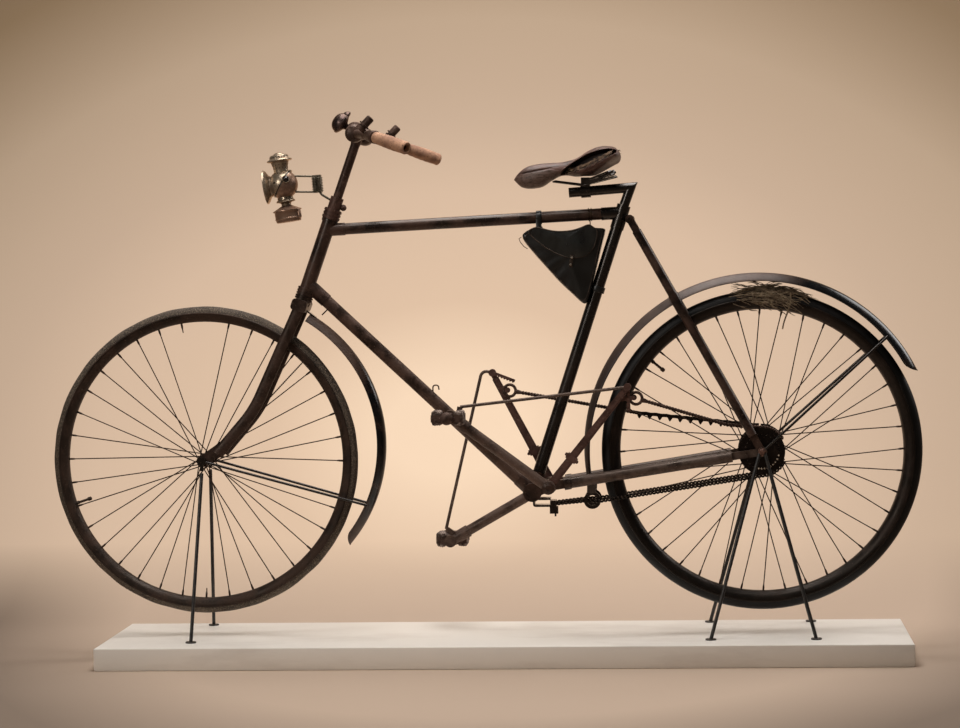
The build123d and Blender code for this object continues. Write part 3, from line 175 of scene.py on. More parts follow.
def grid_faces(rows, columns, ring_rows, ring_columns):
    """Quads between neighbours of a grid of points; a ringed direction meets its own start."""
    row = np.arange(rows if ring_rows else rows - 1)[:, None]
    column = np.arange(columns if ring_columns else columns - 1)[None, :]
    row_after, column_after = (row + 1) % rows, (column + 1) % columns
    corners = (row * columns + column, row_after * columns + column,
               row_after * columns + column_after, row * columns + column_after)
    return np.stack([np.broadcast_to(c, (row.size, column.size)).ravel() for c in corners], axis=1)


def build(name, shells, material, smooth_below=40.0):
    """One mesh from several shells. A shell is a grid of points (rows, columns, 3) and a word: "tube"
    (each row is a ring, and the two ends are capped), "ring" (the rows meet as well) or "sheet"."""
    points, faces, start = [], [], 0
    for grid, form in shells:
        rows, columns = grid.shape[:2]
        quads = grid_faces(rows, columns, form == "ring", form != "sheet")
        points.append(grid.reshape(-1, 3))
        faces += (quads + start).tolist()
        if form == "tube":
            first = np.arange(columns) + start
            faces += [first[::-1].tolist(), (first + (rows - 1) * columns).tolist()]
        start += rows * columns
    mesh = bpy.data.meshes.new(name)
    mesh.from_pydata(np.concatenate(points).tolist(), [], faces)
    flip_inward(mesh)
    mesh.shade_smooth()
    mesh.set_sharp_from_angle(angle=math.radians(smooth_below))
    obj = bpy.data.objects.new(name, mesh)
    bpy.context.collection.objects.link(obj)
    mesh.materials.append(material)
    return obj


def flip_inward(mesh):
    """Turns every closed shell's faces outwards."""
    work = bmesh.new()
    work.from_mesh(mesh)
    bmesh.ops.recalc_face_normals(work, faces=work.faces)
    work.to_mesh(mesh)
    work.free()


PAPER_FRONT, PAPER_BACK, COVE_RADIUS, PAPER_TOP, PAPER_HALF = 13.0, -0.55, 1.4, 4.2, 15.0
PAPER, PAPER_FAR_SHADED, PAPER_WALL = (0.52, 0.40, 0.31), (0.24, 0.184, 0.143), (0.18, 0.135, 0.10)
#                         how near the middle of the painted glow, colour of the wall's own painted light
PAPER_GLOW = [(0.0, (0.05, 0.025, 0.01)), (0.15, (0.12, 0.075, 0.03)), (0.33, (0.34, 0.250, 0.172)),
              (0.50, (0.42, 0.308, 0.222)), (0.62, (0.52, 0.380, 0.274)), (0.80, (0.57, 0.412, 0.290)),
              (0.93, (0.76, 0.575, 0.410))]
GLOW_CENTRE, GLOW_REACH = (0.25, -1.95, 0.42), (2.67, 50.0, 1.78)
WALL_FROM, WALL_TO = 0.0, 0.14  # the floor doesn't glow; the paper counts as wall from this height up
ROOM_LIGHT = (0.10, 0.076, 0.056)
# Two ovals: the centre, the reach along x, y and z, and how many reaches out the outside starts and is
# whole. Outside the first, the paper only gives off the dim painted light of the room. Outside the second,
# which is long from front to back and lies round the plinth, the floor is painted darker: painted shade.
ROOM_OVAL = ((0.0, 0.0, 0.0), (1.0, 1.0, 1.0), 2.6, 6.0)
FLOOR_OVAL = ((0.0, -1.2, 0.0), (1.0, 2.0, 2.0), 1.034, 1.36)
cove = np.linspace(0.0, math.pi / 2, 24)
cove_out, cove_up = COVE_RADIUS * np.sin(cove), COVE_RADIUS * (1.0 - np.cos(cove))
paper_line = np.concatenate([
    [[PAPER_FRONT + COVE_RADIUS, PAPER_TOP]],
    np.stack([PAPER_FRONT + cove_out, cove_up], axis=1)[::-1],
    np.stack([PAPER_BACK - cove_out, cove_up], axis=1),
    [[PAPER_BACK - COVE_RADIUS, PAPER_TOP]],
])
paper_side = np.array([PAPER_HALF, -PAPER_HALF])
paper_grid = np.stack(np.broadcast_arrays(
    paper_side[None, :], paper_line[:, 0:1], paper_line[:, 1:2]), axis=2)
paper, tree, shader, place = new_material("studio_paper")
# The wall's light is painted: the paper glows by itself, brightest in a pool behind the bicycle, and the
# floor is painted darker away from the plinth.
glow = tree.nodes.new("ShaderNodeTexGradient")
glow.gradient_type = "SPHERICAL"
tree.links.new(from_centre(tree, place, GLOW_CENTRE, GLOW_REACH), glow.inputs["Vector"])
wall = between(tree, axes(tree, place)["Z"], WALL_FROM, WALL_TO)
floor_colour = blended(tree, outside(tree, place, *FLOOR_OVAL), PAPER, PAPER_FAR_SHADED)
surface(tree, shader, blended(tree, wall, floor_colour, PAPER_WALL), 0.95)
shader.inputs["Specular IOR Level"].default_value = 0.1
wall_light = blended(tree, wall, (0.0, 0.0, 0.0), ramp(tree, glow.outputs["Fac"], PAPER_GLOW))
light = blended(tree, outside(tree, place, *ROOM_OVAL), wall_light, ROOM_LIGHT)
tree.links.new(light, shader.inputs["Emission Color"])
shader.inputs["Emission Strength"].default_value = 1.0
relief(tree, shader, noise(tree, place, 1.6, 3.0, 0.5, stretch=(0.35, 1.0, 1.0)), 0.25, 0.03)
# The paper is seen from its lit side only, so that it doesn't hide the bicycle from behind.
side_seen = tree.nodes.new("ShaderNodeNewGeometry")
one_sided = tree.nodes.new("ShaderNodeMixShader")
tree.links.new(side_seen.outputs["Backfacing"], one_sided.inputs["Fac"])
tree.links.new(shader.outputs["BSDF"], one_sided.inputs[1])
tree.links.new(tree.nodes.new("ShaderNodeBsdfTransparent").outputs["BSDF"], one_sided.inputs[2])
tree.links.new(one_sided.outputs["Shader"], tree.nodes["Material Output"].inputs["Surface"])
floor = build("studio_paper", [(paper_grid, "sheet")], paper)
floor.data.flip_normals()

world = bpy.data.worlds.new("studio_world")
bpy.context.scene.world = world
world.use_nodes = True
background = world.node_tree.nodes["Background"]
background.inputs["Color"].default_value = (1.0, 0.92, 0.83, 1.0)
background.inputs["Strength"].default_value = 0.06
#         name, where it stands, what it faces, width, depth, power, colour
LAMPS = (
    ("top_lamp", (0.1, -0.05, 3.1), (0.0, -0.05, 0.0), 2.6, 1.5, 88.0, (1.0, 0.97, 0.94)),
    ("key_lamp", (2.6, 3.4, 2.4), (0.2, 0.0, 0.5), 1.3, 1.3, 44.0, (1.0, 0.95, 0.89)),
    ("rim_lamp", (-2.6, -1.2, 2.4), (0.0, 0.0, 0.7), 1.2, 1.8, 30.0, (1.0, 0.97, 0.95)),
)
for name, at, faces, width, depth, power, colour in LAMPS:
    lamp = bpy.data.objects.new(name, bpy.data.lights.new(name, "AREA"))
    lamp.data.shape = "RECTANGLE"
    lamp.data.size = width
    lamp.data.size_y = depth
    lamp.data.energy = power
    lamp.data.color = colour
    aim = np.array(faces) - np.array(at)
    lamp.location = at
    across = math.atan2(-aim[0], aim[1])
    lamp.rotation_euler = (math.atan2(math.hypot(aim[0], aim[1]), -aim[2]), 0.0, across)
    bpy.context.collection.objects.link(lamp)

# ---- plinth and stand rods ----------------------------------------------------------------------
# A low hollow box of boards, rubbed down and painted off-white, carries the bicycle. Thin black steel
# rods rise from screwed foot plates to both axles and hold the tyres clear of it.
PLINTH_CORNER, PLINTH_ARC = 0.0022, 4
PLINTH_WHITE, PLINTH_SCUFF = (0.86, 0.81, 0.745), (0.68, 0.62, 0.56)


def rounded(width, depth, corner, steps):
    """An upright rectangle's outline whose corners are quarter circles, as (across, up) pairs."""
    turn = np.linspace(0.0, math.pi / 2, steps)
    quarters = []
    for k, (sx, sy) in enumerate(((1, 1), (-1, 1), (-1, -1), (1, -1))):
        centre = np.array([sx * (width / 2 - corner), sy * (depth / 2 - corner)])
        angle = turn + k * math.pi / 2
        quarters.append(centre + corner * np.stack([np.cos(angle), np.sin(angle)], axis=1))
    return np.concatenate(quarters)


def sweep(path, outline, side=None):
    """Carries an outline along a path. Each ring lies square to the path; the outline's first
    direction is the one nearest to side, which by default is square to the path's own plane.
    The outline is (m, 2), or (n, m, 2) where it changes along the path. Gives a shell."""
    path = np.asarray(path, float)
    along = np.gradient(path, axis=0)
    along /= np.linalg.norm(along, axis=1, keepdims=True)
    if side is None:
        side = np.linalg.svd(path - path.mean(axis=0))[2][-1]
    side = np.asarray(side, float)
    first = side - along * (along @ side)[:, None]
    first /= np.linalg.norm(first, axis=1, keepdims=True)
    second = np.cross(along, first)
    outline = np.asarray(outline, float)
    outline = outline if outline.ndim == 3 else outline[None]
    grid = path[:, None] + outline[..., 0:1] * first[:, None] + outline[..., 1:2] * second[:, None]
    return grid, "tube"


def circle(radius, sides=12):
    """A circle's outline, or one for each radius of a list."""
    angle = np.arange(sides) * 2 * math.pi / sides
    unit = np.stack([np.cos(angle), np.sin(angle)], axis=1)
    radius = np.asarray(radius, float)
    return unit * radius if radius.ndim == 0 else radius[:, None, None] * unit[None]


def turned(foot, axis, profile, sides=32):
    """A turned form's shell, on the line from foot along axis: profile is (distance, radius) pairs."""
    profile = np.asarray(profile, float)
    axis = np.asarray(axis, float) / np.linalg.norm(axis)
    first = np.cross(axis, (0.31, 0.27, 0.91))
    first /= np.linalg.norm(first)
    second = np.cross(axis, first)
    rings = circle(profile[:, 1], sides)
    centres = np.asarray(foot, float) + profile[:, 0:1] * axis
    return centres[:, None] + rings[..., 0:1] * first + rings[..., 1:2] * second, "tube"


def add_piece(name, shells, material, body, replaced=None, smooth_below=40.0):
    """Builds a piece that moves with a body and has a finish slot. It may take a solid's place."""
    obj = build(name, shells, material, smooth_below)
    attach(obj, body)
    if replaced:
        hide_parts(replaced)
    return obj


def finish_nodes(names, material):
    """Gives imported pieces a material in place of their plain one."""
    for name in names.split():
        nodes[name].data.materials.clear()
        nodes[name].data.materials.append(material)


white, tree, shader, place = new_material("plinth_white_paint")
broad = noise(tree, place, 5.0, stretch=(0.5, 1.0, 2.0))
scuffs = noise(tree, place, 60.0, 8.0, 0.7, stretch=(0.3, 1.0, 1.0))
surface(tree, shader, ramp(tree, broad, [(0.25, PLINTH_SCUFF), (0.5, PLINTH_WHITE)]),
        ramp(tree, scuffs, [(0.3, 0.42), (0.7, 0.62)]))
relief(tree, shader, scuffs, 0.15, 0.0006)
low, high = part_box("plinth")
section = rounded(high.y - low.y, high.z - low.z, PLINTH_CORNER, PLINTH_ARC)
edge = PLINTH_CORNER * np.array([0.0, 0.4, 1.0])
ends = np.concatenate([low.x + edge, high.x - edge[::-1]])
inset = np.concatenate([edge[::-1], edge])
size = np.array([high.y - low.y, high.z - low.z])
scale = 1.0 - 2.0 * inset[:, None] / size[None]
path = np.stack([ends, np.full(6, (low.y + high.y) / 2), np.full(6, (low.z + high.z) / 2)], axis=1)
boards = [sweep(path, section[None] * scale[:, None], (0, 1, 0))]
add_piece("plinth_boards", boards, white, "frame", "plinth")

ROD_BLACK, ROD_DUST = (0.012, 0.011, 0.011), (0.05, 0.042, 0.036)
satin_black, tree, shader, place = new_material("stand_rod_black")
surface(tree, shader, ramp(tree, noise(tree, place, 90.0), [(0.45, ROD_BLACK), (0.75, ROD_DUST)]), 0.38)
FOOT_SCREW_R, FOOT_SCREW_OUT, FOOT_TOP, FOOT_Y = 0.0018, 0.008, 0.053, 0.1475
FOOT_SCREW = [(-0.0004, FOOT_SCREW_R), (0.0004, FOOT_SCREW_R), (0.0008, FOOT_SCREW_R / 2)]
FEET_X = {"front": (0.700,), "rear": (-0.463, -0.695)}
for end, feet in FEET_X.items():
    finish_nodes(f"{end}_stand_rods", satin_black)
    screws = []
    for foot_x in feet:
        for side in (1, -1):
            for across in (1, -1):
                screw_at = (foot_x + across * FOOT_SCREW_OUT, side * FOOT_Y, FOOT_TOP)
                screws.append(turned(screw_at, (0, 0, 1), FOOT_SCREW, 8))
    add_piece(f"{end}_foot_screws", screws, satin_black, "frame")

# ---- wheels -------------------------------------------------------------------------------------
# Both wheels have rolled steel rims, enamelled and now rusty, with tyres cemented into them. The
# front tyre is perished and gritty; the rear one is smooth and black. Wire spokes screwed into
# nipples run tangentially to the hub flanges, and several front spokes are gone.
WHEEL_STEPS, TYRE_STEPS = 288, 28
TYRE_WEAR, TYRE_LUMP, TYRE_SUNK, LUMP_LENGTH = 0.0004, 0.00015, 0.0006, 8  # metres; steps
RIM_WALL, RIM_GAP, RIM_LIP, RIM_BEAD = 0.0016, 0.0003, 0.0004, 0.0021
SPOKE_R, SPOKE_SIDES, SPOKE_LEAN = 0.00125, 8, 52.0  # lean in degrees round the hub from straight
SPOKE_SET, SPOKE_STUB = 0.0015, 0.021  # how far it is set into flange and rim; what is left if broken
NIPPLE_R, NIPPLE_LENGTH = 0.0024, 0.013
#          distance, radius
NIPPLE = [(-0.001, NIPPLE_R), (NIPPLE_LENGTH * 0.6, NIPPLE_R), (NIPPLE_LENGTH, NIPPLE_R * 0.62)]
VALVE_STEM = [(-0.001, 0.0042), (0.005, 0.0042), (0.006, 0.003), (0.026, 0.003), (0.027, 0.0046),
              (0.034, 0.0046), (0.036, 0.002)]
# Radius of the tyre's centre circle and of its section; spokes, the hub flange's radius and how far it
# is to the side, the first spoke's angle, the spokes that are gone or broken, and the valve's angle.
WHEELS = {
    "front": dict(circle=0.335, section=0.017, spokes=36, flange=0.014, flange_y=0.026,
                  first=1.0, gone=(9, 19), broken=(8, 27), valve=342.3),
    "rear": dict(circle=0.3395, section=0.0205, spokes=40, flange=0.037, flange_y=0.025,
                 first=0.0, gone=(), broken=(), valve=40.0),
}


def axle_of(end):
    """The middle of a wheel, from its tyre's box."""
    low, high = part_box(f"{end}_tyre")
    return np.array([(low.x + high.x) / 2, 0.0, (low.z + high.z) / 2])


def outward(degrees):
    """Unit vectors square to the axle, at angles from forward and upwards."""
    angle = np.radians(np.asarray(degrees, float))
    return np.stack([np.cos(angle), np.zeros_like(angle), np.sin(angle)], axis=-1)


def round_wheel(centre, radius, outline):
    """A shell round the axle: the outline's first measure is added to the radius, its second to y.
    The outline is (m, 2), or (n, m, 2) where it changes round the wheel."""
    steps = outline.shape[0] if outline.ndim == 3 else WHEEL_STEPS
    ray = outward(np.arange(steps) * 360.0 / steps)[:, None]
    outline = outline if outline.ndim == 3 else outline[None]
    grid = centre + (radius + outline[..., 0:1]) * ray + outline[..., 1:2] * np.array([0.0, 1.0, 0.0])
    return grid, "ring"


def ripple(count, steps, seed, lowest, highest):
    """A closed wavy line: a seeded sum of count sines round a ring, between about -1 and 1."""
    rng = np.random.default_rng(seed)
    waves = rng.integers(lowest, highest, count)[:, None]
    phase = rng.uniform(0, 2 * math.pi, count)[:, None]
    turn = np.linspace(0.0, 2 * math.pi, steps, endpoint=False)[None]
    return np.sin(waves * turn + phase).sum(axis=0) / math.sqrt(count)


GRIT_PALE, GRIT_MID = (0.27, 0.205, 0.145), (0.115, 0.086, 0.063)
GRIT_DARK, GRIT_CRACK = (0.042, 0.031, 0.024), (0.012, 0.009, 0.0075)
gritty, tree, shader, place = new_material("perished_tyre_rubber")
grit = noise(tree, place, 330.0, 5.0, 0.75)
wash = noise(tree, place, 9.0, 5.0, 0.6)
toned = blended(tree, ramp(tree, wash, [(0.35, 0.0), (0.7, 1.0)]), GRIT_DARK, GRIT_MID)
toned = blended(tree, ramp(tree, grit, [(0.5, 0.0), (0.66, 1.0)]), toned, GRIT_PALE)
toned = blended(tree, ramp(tree, grit, [(0.33, 1.0), (0.42, 0.0)]), toned, GRIT_CRACK)
surface(tree, shader, toned, 0.88)
relief(tree, shader, grit, 0.8, 0.0012)

TYRE_BLACK, TYRE_BLOOM = (0.002, 0.0018, 0.0016), (0.008, 0.0062, 0.0054)
smooth_rubber, tree, shader, place = new_material("black_tyre_rubber")
bloom = noise(tree, place, 24.0, 7.0, 0.65)
surface(tree, shader, ramp(tree, bloom, [(0.42, TYRE_BLACK), (0.72, TYRE_BLOOM)]),
        ramp(tree, bloom, [(0.3, 0.36), (0.7, 0.62)]))
shader.inputs["Specular IOR Level"].default_value = 0.3
relief(tree, shader, noise(tree, place, 260.0, 4.0), 0.25, 0.0006)


def aged_metal(name, sound, rusted, pale, share, metal, gloss, blotch=14.0, grain=220.0):
    """Old metal: a sound colour and a rusted one share the surface by cloudy patches, with pale worn
    specks; gloss is the pair of roughnesses of sound and rusted metal."""
    material, tree, shader, place = new_material(name)
    patches = noise(tree, place, blotch, 8.0, 0.62)
    specks = noise(tree, place, grain, 5.0, 0.7)
    rust = ramp(tree, patches, [(share - 0.07, 0.0), (share + 0.07, 1.0)])
    colour = blended(tree, rust, sound, rusted)
    colour = blended(tree, ramp(tree, specks, [(0.58, 0.0), (0.72, 1.0)]), colour, pale)
    dull = ramp(tree, patches, [(share - 0.1, gloss[0]), (share + 0.1, gloss[1])])
    surface(tree, shader, colour, dull)
    shader.inputs["Metallic"].default_value = metal
    shader.inputs["Specular IOR Level"].default_value = 0.35
    shader.inputs["Specular Tint"].default_value = (1.0, 0.82, 0.70, 1.0)
    relief(tree, shader, specks, 0.30, 0.0004)
    return material


rim_enamel = aged_metal(
    "rim_enamel", (0.014, 0.009, 0.007), (0.042, 0.024, 0.017), (0.10, 0.066, 0.048),
    0.50, 0.1, (0.40, 0.7))
rim_black = aged_metal(
    "rim_black", (0.005, 0.004, 0.0035), (0.016, 0.010, 0.008), (0.045, 0.03, 0.023),
    0.60, 0.1, (0.36, 0.6))
wire = aged_metal(
    "spoke_wire", (0.022, 0.014, 0.010), (0.045, 0.026, 0.018), (0.10, 0.068, 0.05),
    0.5, 0.3, (0.45, 0.7), 60.0)
hub_steel = aged_metal(
    "hub_steel", (0.04, 0.03, 0.025), (0.075, 0.045, 0.032), (0.14, 0.10, 0.075),
    0.52, 0.6, (0.4, 0.65), 40.0)

for end, wheel in WHEELS.items():
    body, centre, perished = f"{end}_wheel", axle_of(end), end == "front"
    section = circle(wheel["section"], TYRE_STEPS)
    if perished:
        wear = ripple(9, WHEEL_STEPS, 5, 3, 40)[:, None] * TYRE_WEAR
        lumps = np.stack([ripple(6, TYRE_STEPS, 20 + k, 1, 6) for k in range(WHEEL_STEPS // LUMP_LENGTH)])
        lumps = np.repeat(lumps, LUMP_LENGTH, axis=0) * TYRE_LUMP
        swell = 1.0 + (wear + lumps - TYRE_SUNK) / wheel["section"]
        section = section[None] * swell[..., None]
    tyre = [round_wheel(centre, wheel["circle"], section)]
    rubber, rubber_slot = (gritty, "old_rubber") if perished else (smooth_rubber, "black_rubber")
    add_piece(f"{end}_tyre_rubber", tyre, rubber, body, f"{end}_tyre", 180.0)

    inner = wheel["section"] + RIM_GAP
    outer = inner + RIM_WALL
    arc = np.radians(np.linspace(91.0, 269.0, 30))
    hollow = np.stack([np.cos(arc), np.sin(arc)], axis=1)
    bead = np.radians(np.linspace(200.0, -20.0, 9))
    bead = RIM_BEAD * np.stack([np.sin(bead), np.cos(bead)], axis=1)
    lip = np.array([RIM_LIP, outer])
    trough = np.concatenate([
        hollow * outer, bead * (1, -1) + lip * (1, -1), (hollow * inner)[::-1], bead[::-1] + lip])
    rim = [round_wheel(centre, wheel["circle"], trough)]
    enamel = rim_enamel if perished else rim_black
    add_piece(f"{end}_rim_trough", rim, enamel, body, f"{end}_rim", 60.0)

    rim_foot = wheel["circle"] - wheel["section"] - RIM_GAP - RIM_WALL
    wires, nipples = [], []
    for k in range(wheel["spokes"]):
        turn = k * 360.0 / wheel["spokes"] + wheel["first"]
        side = 1 if k % 2 == 0 else -1
        way = 1 if k % 4 < 2 else -1
        if k in wheel["gone"]:
            continue
        hub_end = centre + outward(turn + way * SPOKE_LEAN) * (wheel["flange"] - SPOKE_SET)
        hub_end = hub_end + (0.0, side * (wheel["flange_y"] + way * SPOKE_SET), 0.0)
        rim_end = centre + outward(turn) * rim_foot + (0.0, side * SPOKE_SET, 0.0)
        down = (hub_end - rim_end) / np.linalg.norm(hub_end - rim_end)
        if k in wheel["broken"]:
            hub_end = rim_end + down * SPOKE_STUB
        path = rim_end + np.linspace(0.0, 1.0, 4)[:, None] * (hub_end - rim_end)
        wires.append(sweep(path, circle(SPOKE_R, SPOKE_SIDES)))
        nipples.append(turned(rim_end, down, NIPPLE, 8))
    add_piece(f"{end}_spoke_wires", wires, wire, body, f"{end}_spokes")
    add_piece(f"{end}_spoke_nipples", nipples, hub_steel, body)

    valve_way = outward(wheel["valve"])
    valve = [turned(centre + valve_way * rim_foot, -valve_way, VALVE_STEM, 12)]
    add_piece(f"{end}_valve", valve, hub_steel, body)

# ---- frame --------------------------------------------------------------------------------------
# Steel tubes are brazed into lugs at the head, bracket and seat. Their black stove enamel is sound
# and glossy round the seat, and has worn through to brown rust on the lower tubes and stays.
def lacquered(material, weight, roughness):
    """Adds what is left of a clear glossy coat to a material, and gives it back."""
    shader = material.node_tree.nodes["Principled BSDF"]
    shader.inputs["Coat Weight"].default_value = weight
    shader.inputs["Coat Roughness"].default_value = roughness
    return material


enamel_black_and_shade = aged_metal(
    "enamel_black_and_shade", (0.0025, 0.002, 0.0018), (0.012, 0.0072, 0.0055), (0.055, 0.036, 0.027),
    0.60, 0.05, (0.24, 0.5), 16.0)
enamel_brown = aged_metal(
    "enamel_brown", (0.010, 0.0055, 0.0042), (0.052, 0.027, 0.0195), (0.13, 0.08, 0.061),
    0.48, 0.1, (0.26, 0.5), 16.0)
stay_brown = aged_metal(
    "stay_brown", (0.036, 0.024, 0.019), (0.092, 0.064, 0.052), (0.20, 0.15, 0.122),
    0.48, 0.15, (0.24, 0.46), 22.0)
tube_brown = aged_metal(
    "tube_brown", (0.024, 0.014, 0.0105), (0.090, 0.053, 0.040), (0.19, 0.125, 0.098),
    0.47, 0.12, (0.26, 0.5), 16.0)
lacquered(enamel_black_and_shade, 0.55, 0.24)
lacquered(enamel_brown, 0.25, 0.22)
finish_nodes("seat_tube seat_lug seat_pillar saddle_frame", enamel_black_and_shade)
finish_nodes("head_tube top_tube bottom_bracket seat_stays", enamel_brown)
finish_nodes("down_tube", tube_brown)
finish_nodes("chain_stays", stay_brown)
finish_nodes("chain_yoke chain_guides rear_guard_stays front_guard_stays front_axle", enamel_black_and_shade)

# ---- mudguards ----------------------------------------------------------------------------------
# Deep rolled steel blades. The front one keeps a blue-black sheen along its crown; the rear one is
# dull grey-brown where it is worn, and turns glossy black towards its tongue-shaped tail.
GUARD_WORN, GUARD_DULL, GUARD_BLACK = (0.108, 0.064, 0.046), (0.058, 0.033, 0.025), (0.0028, 0.0028, 0.0034)
GUARD_TURNS = {"rear": (-0.59, -0.69), "front": (0.345, 0.300)}  # x where it is worn, and where black
GUARD_LOW = {"rear": (0.82, 0.62), "front": (0.0, -0.1)}  # z from which it is darker, and is darkest
GUARD_LOW_DARK = (0.030, 0.017, 0.012)
guard_enamels = {}
for end, (worn_x, black_x) in GUARD_TURNS.items():
    guard_enamel, tree, shader, place = new_material(f"{end}_guard_enamel")
    along = axes(tree, place)
    share = between(tree, along["X"], worn_x, black_x)
    blotches = noise(tree, place, 22.0, 8.0, 0.62, stretch=(1.0, 0.5, 1.0))
    worn = ramp(tree, blotches, [(0.36, GUARD_DULL), (0.62, GUARD_WORN)])
    # The worn tone is darker towards the bottom of the blade.
    worn = blended(tree, between(tree, along["Z"], *GUARD_LOW[end]), worn, GUARD_LOW_DARK)
    dark = ramp(tree, blotches, [(0.50, GUARD_BLACK), (0.80, GUARD_DULL)])
    surface(tree, shader, blended(tree, share, worn, dark), ramp(tree, share, [(0.0, 0.55), (1.0, 0.2)]))
    relief(tree, shader, noise(tree, place, 160.0, 5.0), 0.2, 0.0005)
    guard_enamels[end] = guard_enamel
#         centre, blade radius, start and end (degrees), depths of the sides, where the second is reached
GUARDS = {
    "rear": ((-0.5775, 0.0, 0.4650), 0.3940, -9.4, 154.5, (0.0085, 0.0175), 32.0),
    "front": ((0.6144, 0.0, 0.4835), 0.3474, 121.0, 221.5, (0.0170, 0.0175), 130.0),
}
GUARD_HALF, GUARD_WALL, GUARD_STEPS, GUARD_ACROSS, BEAD_R = 0.0268, 0.0014, 180, 17, 0.0013


def guard_blade(centre, radius, start, end, depths, deep_at):
    """A rolled blade round a wheel: a parabolic section whose depth grows from the first to the
    second of depths by the angle deep_at, and whose last end narrows to a rounded tongue. Gives the
    blade and the beads along its edges."""
    angle = np.linspace(start, end, GUARD_STEPS)
    left = np.radians(end - angle) * radius
    narrow = np.sqrt(np.clip(1.0 - np.clip(1.0 - left / GUARD_HALF, 0.0, 0.995) ** 2, 0.0, 1.0))
    depth = np.interp(angle, (start, deep_at), depths)
    across = np.linspace(-1.0, 1.0, GUARD_ACROSS)[None]
    half = (GUARD_HALF * narrow)[:, None]
    sunk = -depth[:, None] * (across * narrow[:, None]) ** 2
    outer = np.stack([np.broadcast_to(sunk, (GUARD_STEPS, GUARD_ACROSS)), half * across], axis=2)
    inner = outer[:, ::-1] - (GUARD_WALL, 0.0)
    ray = outward(angle)[:, None]
    axle_way = np.array([0.0, 1.0, 0.0])
    outline = np.concatenate([outer, inner], axis=1)
    blade = centre + (radius + outline[..., 0:1]) * ray + outline[..., 1:2] * axle_way
    beads = [sweep(blade[:, k], circle(BEAD_R, 6), (0, 1, 0)) for k in (0, GUARD_ACROSS - 1)]
    return [(blade, "tube"), *beads]


for end, (centre, radius, start, stop, depths, deep_at) in GUARDS.items():
    guard = guard_blade(np.array(centre), radius, start, stop, depths, deep_at)
    carrier = "frame" if end == "rear" else "steering"
    add_piece(f"{end}_guard_blade", guard, guard_enamels[end], carrier, f"{end}_mudguard", 50.0)

# ---- hubs and drums -----------------------------------------------------------------------------
# The hubs are turned steel. The rear one lies between two black drums that the chains drive; worn
# rivet heads shine on the near drum, and a rusty domed nut closes each end of its axle.
hub_black = aged_metal(
    "drum_black", (0.004, 0.003, 0.0028), (0.014, 0.008, 0.0062), (0.07, 0.045, 0.036),
    0.60, 0.3, (0.34, 0.6), 30.0)
nut_rust = aged_metal(
    "nut_rust", (0.10, 0.048, 0.036), (0.15, 0.075, 0.055), (0.22, 0.14, 0.11),
    0.5, 0.25, (0.5, 0.72), 60.0)
finish_nodes("rear_hub left_drum right_drum", hub_black)
finish_nodes("front_hub", hub_steel)

bright_rivet = aged_metal(
    "bright_rivet", (0.62, 0.52, 0.42), (0.30, 0.22, 0.17), (0.85, 0.76, 0.66),
    0.55, 0.6, (0.25, 0.45), 60.0)
RIVET_ANGLES, RIVET_CIRCLE = (-14, -27, -39, -50, -61, -72, -82, -92, -101), 0.0385
RIVET = [(0.0450, 0.0020), (0.0487, 0.0020), (0.0492, 0.0012)]
AXLE_NUT = [(0.0640, 0.0102), (0.0712, 0.0102), (0.0716, 0.0085), (0.0745, 0.0060), (0.0762, 0.0052),
            (0.0764, 0.0010)]
rivets = []
for angle in RIVET_ANGLES:
    foot = axle_of("rear") + RIVET_CIRCLE * outward(180.0 - angle)
    rivets.append(turned(foot, (0, 1, 0), RIVET, 8))
add_piece("drum_rivets", rivets, bright_rivet, "left_drum_body")
nuts = [turned(axle_of("rear"), (0, side, 0), AXLE_NUT, 6) for side in (1, -1)]
add_piece("rear_axle_nuts", nuts, nut_rust, "frame", smooth_below=20.0)

# ---- straw over the rear tyre -------------------------------------------------------------------
# A hank of straw twine is wound loosely over the rear tyre just behind its top. Its strands cross
# untidily, stick up at both ends, and one twisted end hangs down past the rim.
STRAW_FROM, STRAW_TO = 80.0, 106.5  # degrees from forward and upwards
STRAW_STRANDS, STRAW_STEPS = 200, 26
STRAW_LOW, STRAW_HIGH = 0.0222, 0.0325  # metres from the tyre's centre circle
STRAW_SIDE = 0.0275  # and how far it may stand out sideways, to pass between the stays
LOOSE_ENDS, LOOSE_FROM = 26, (STRAW_FROM + 2.0, STRAW_TO - 3.0, 95.0, 88.0)
TWIST_STEPS, TWIST_THICK = 30, 0.0013
STRAW_TONES = [(0.36, (0.05, 0.034, 0.022)), (0.52, (0.21, 0.15, 0.092)), (0.68, (0.40, 0.30, 0.185))]


def straw_strand(rng, angle_from, angle_to, turn_from, turn_to, reach_from, reach_to, thickness):
    """One strand round the tyre: it runs from one wheel angle to another while it turns about the
    tyre's section, at a reach from its centre circle that swells and sinks by a seeded wave. Its
    sides stay within STRAW_SIDE."""
    share = np.linspace(0.0, 1.0, STRAW_STEPS)
    angle = angle_from + (angle_to - angle_from) * share
    turn = turn_from + (turn_to - turn_from) * share
    wave = 0.0011 * np.sin(share * rng.uniform(6.0, 16.0) + rng.uniform(0.0, 6.3))
    reach = reach_from + (reach_to - reach_from) * share + wave
    wheel = WHEELS["rear"]["circle"] + reach * np.cos(turn)
    path = axle_of("rear") + wheel[:, None] * outward(angle)
    path[:, 1] = np.clip(reach * np.sin(turn), -STRAW_SIDE, STRAW_SIDE)
    taper = thickness * (1.0 - 0.6 * np.abs(2.0 * share - 1.0) ** 3)
    return sweep(path, circle(taper, 4), (0, 1, 0))


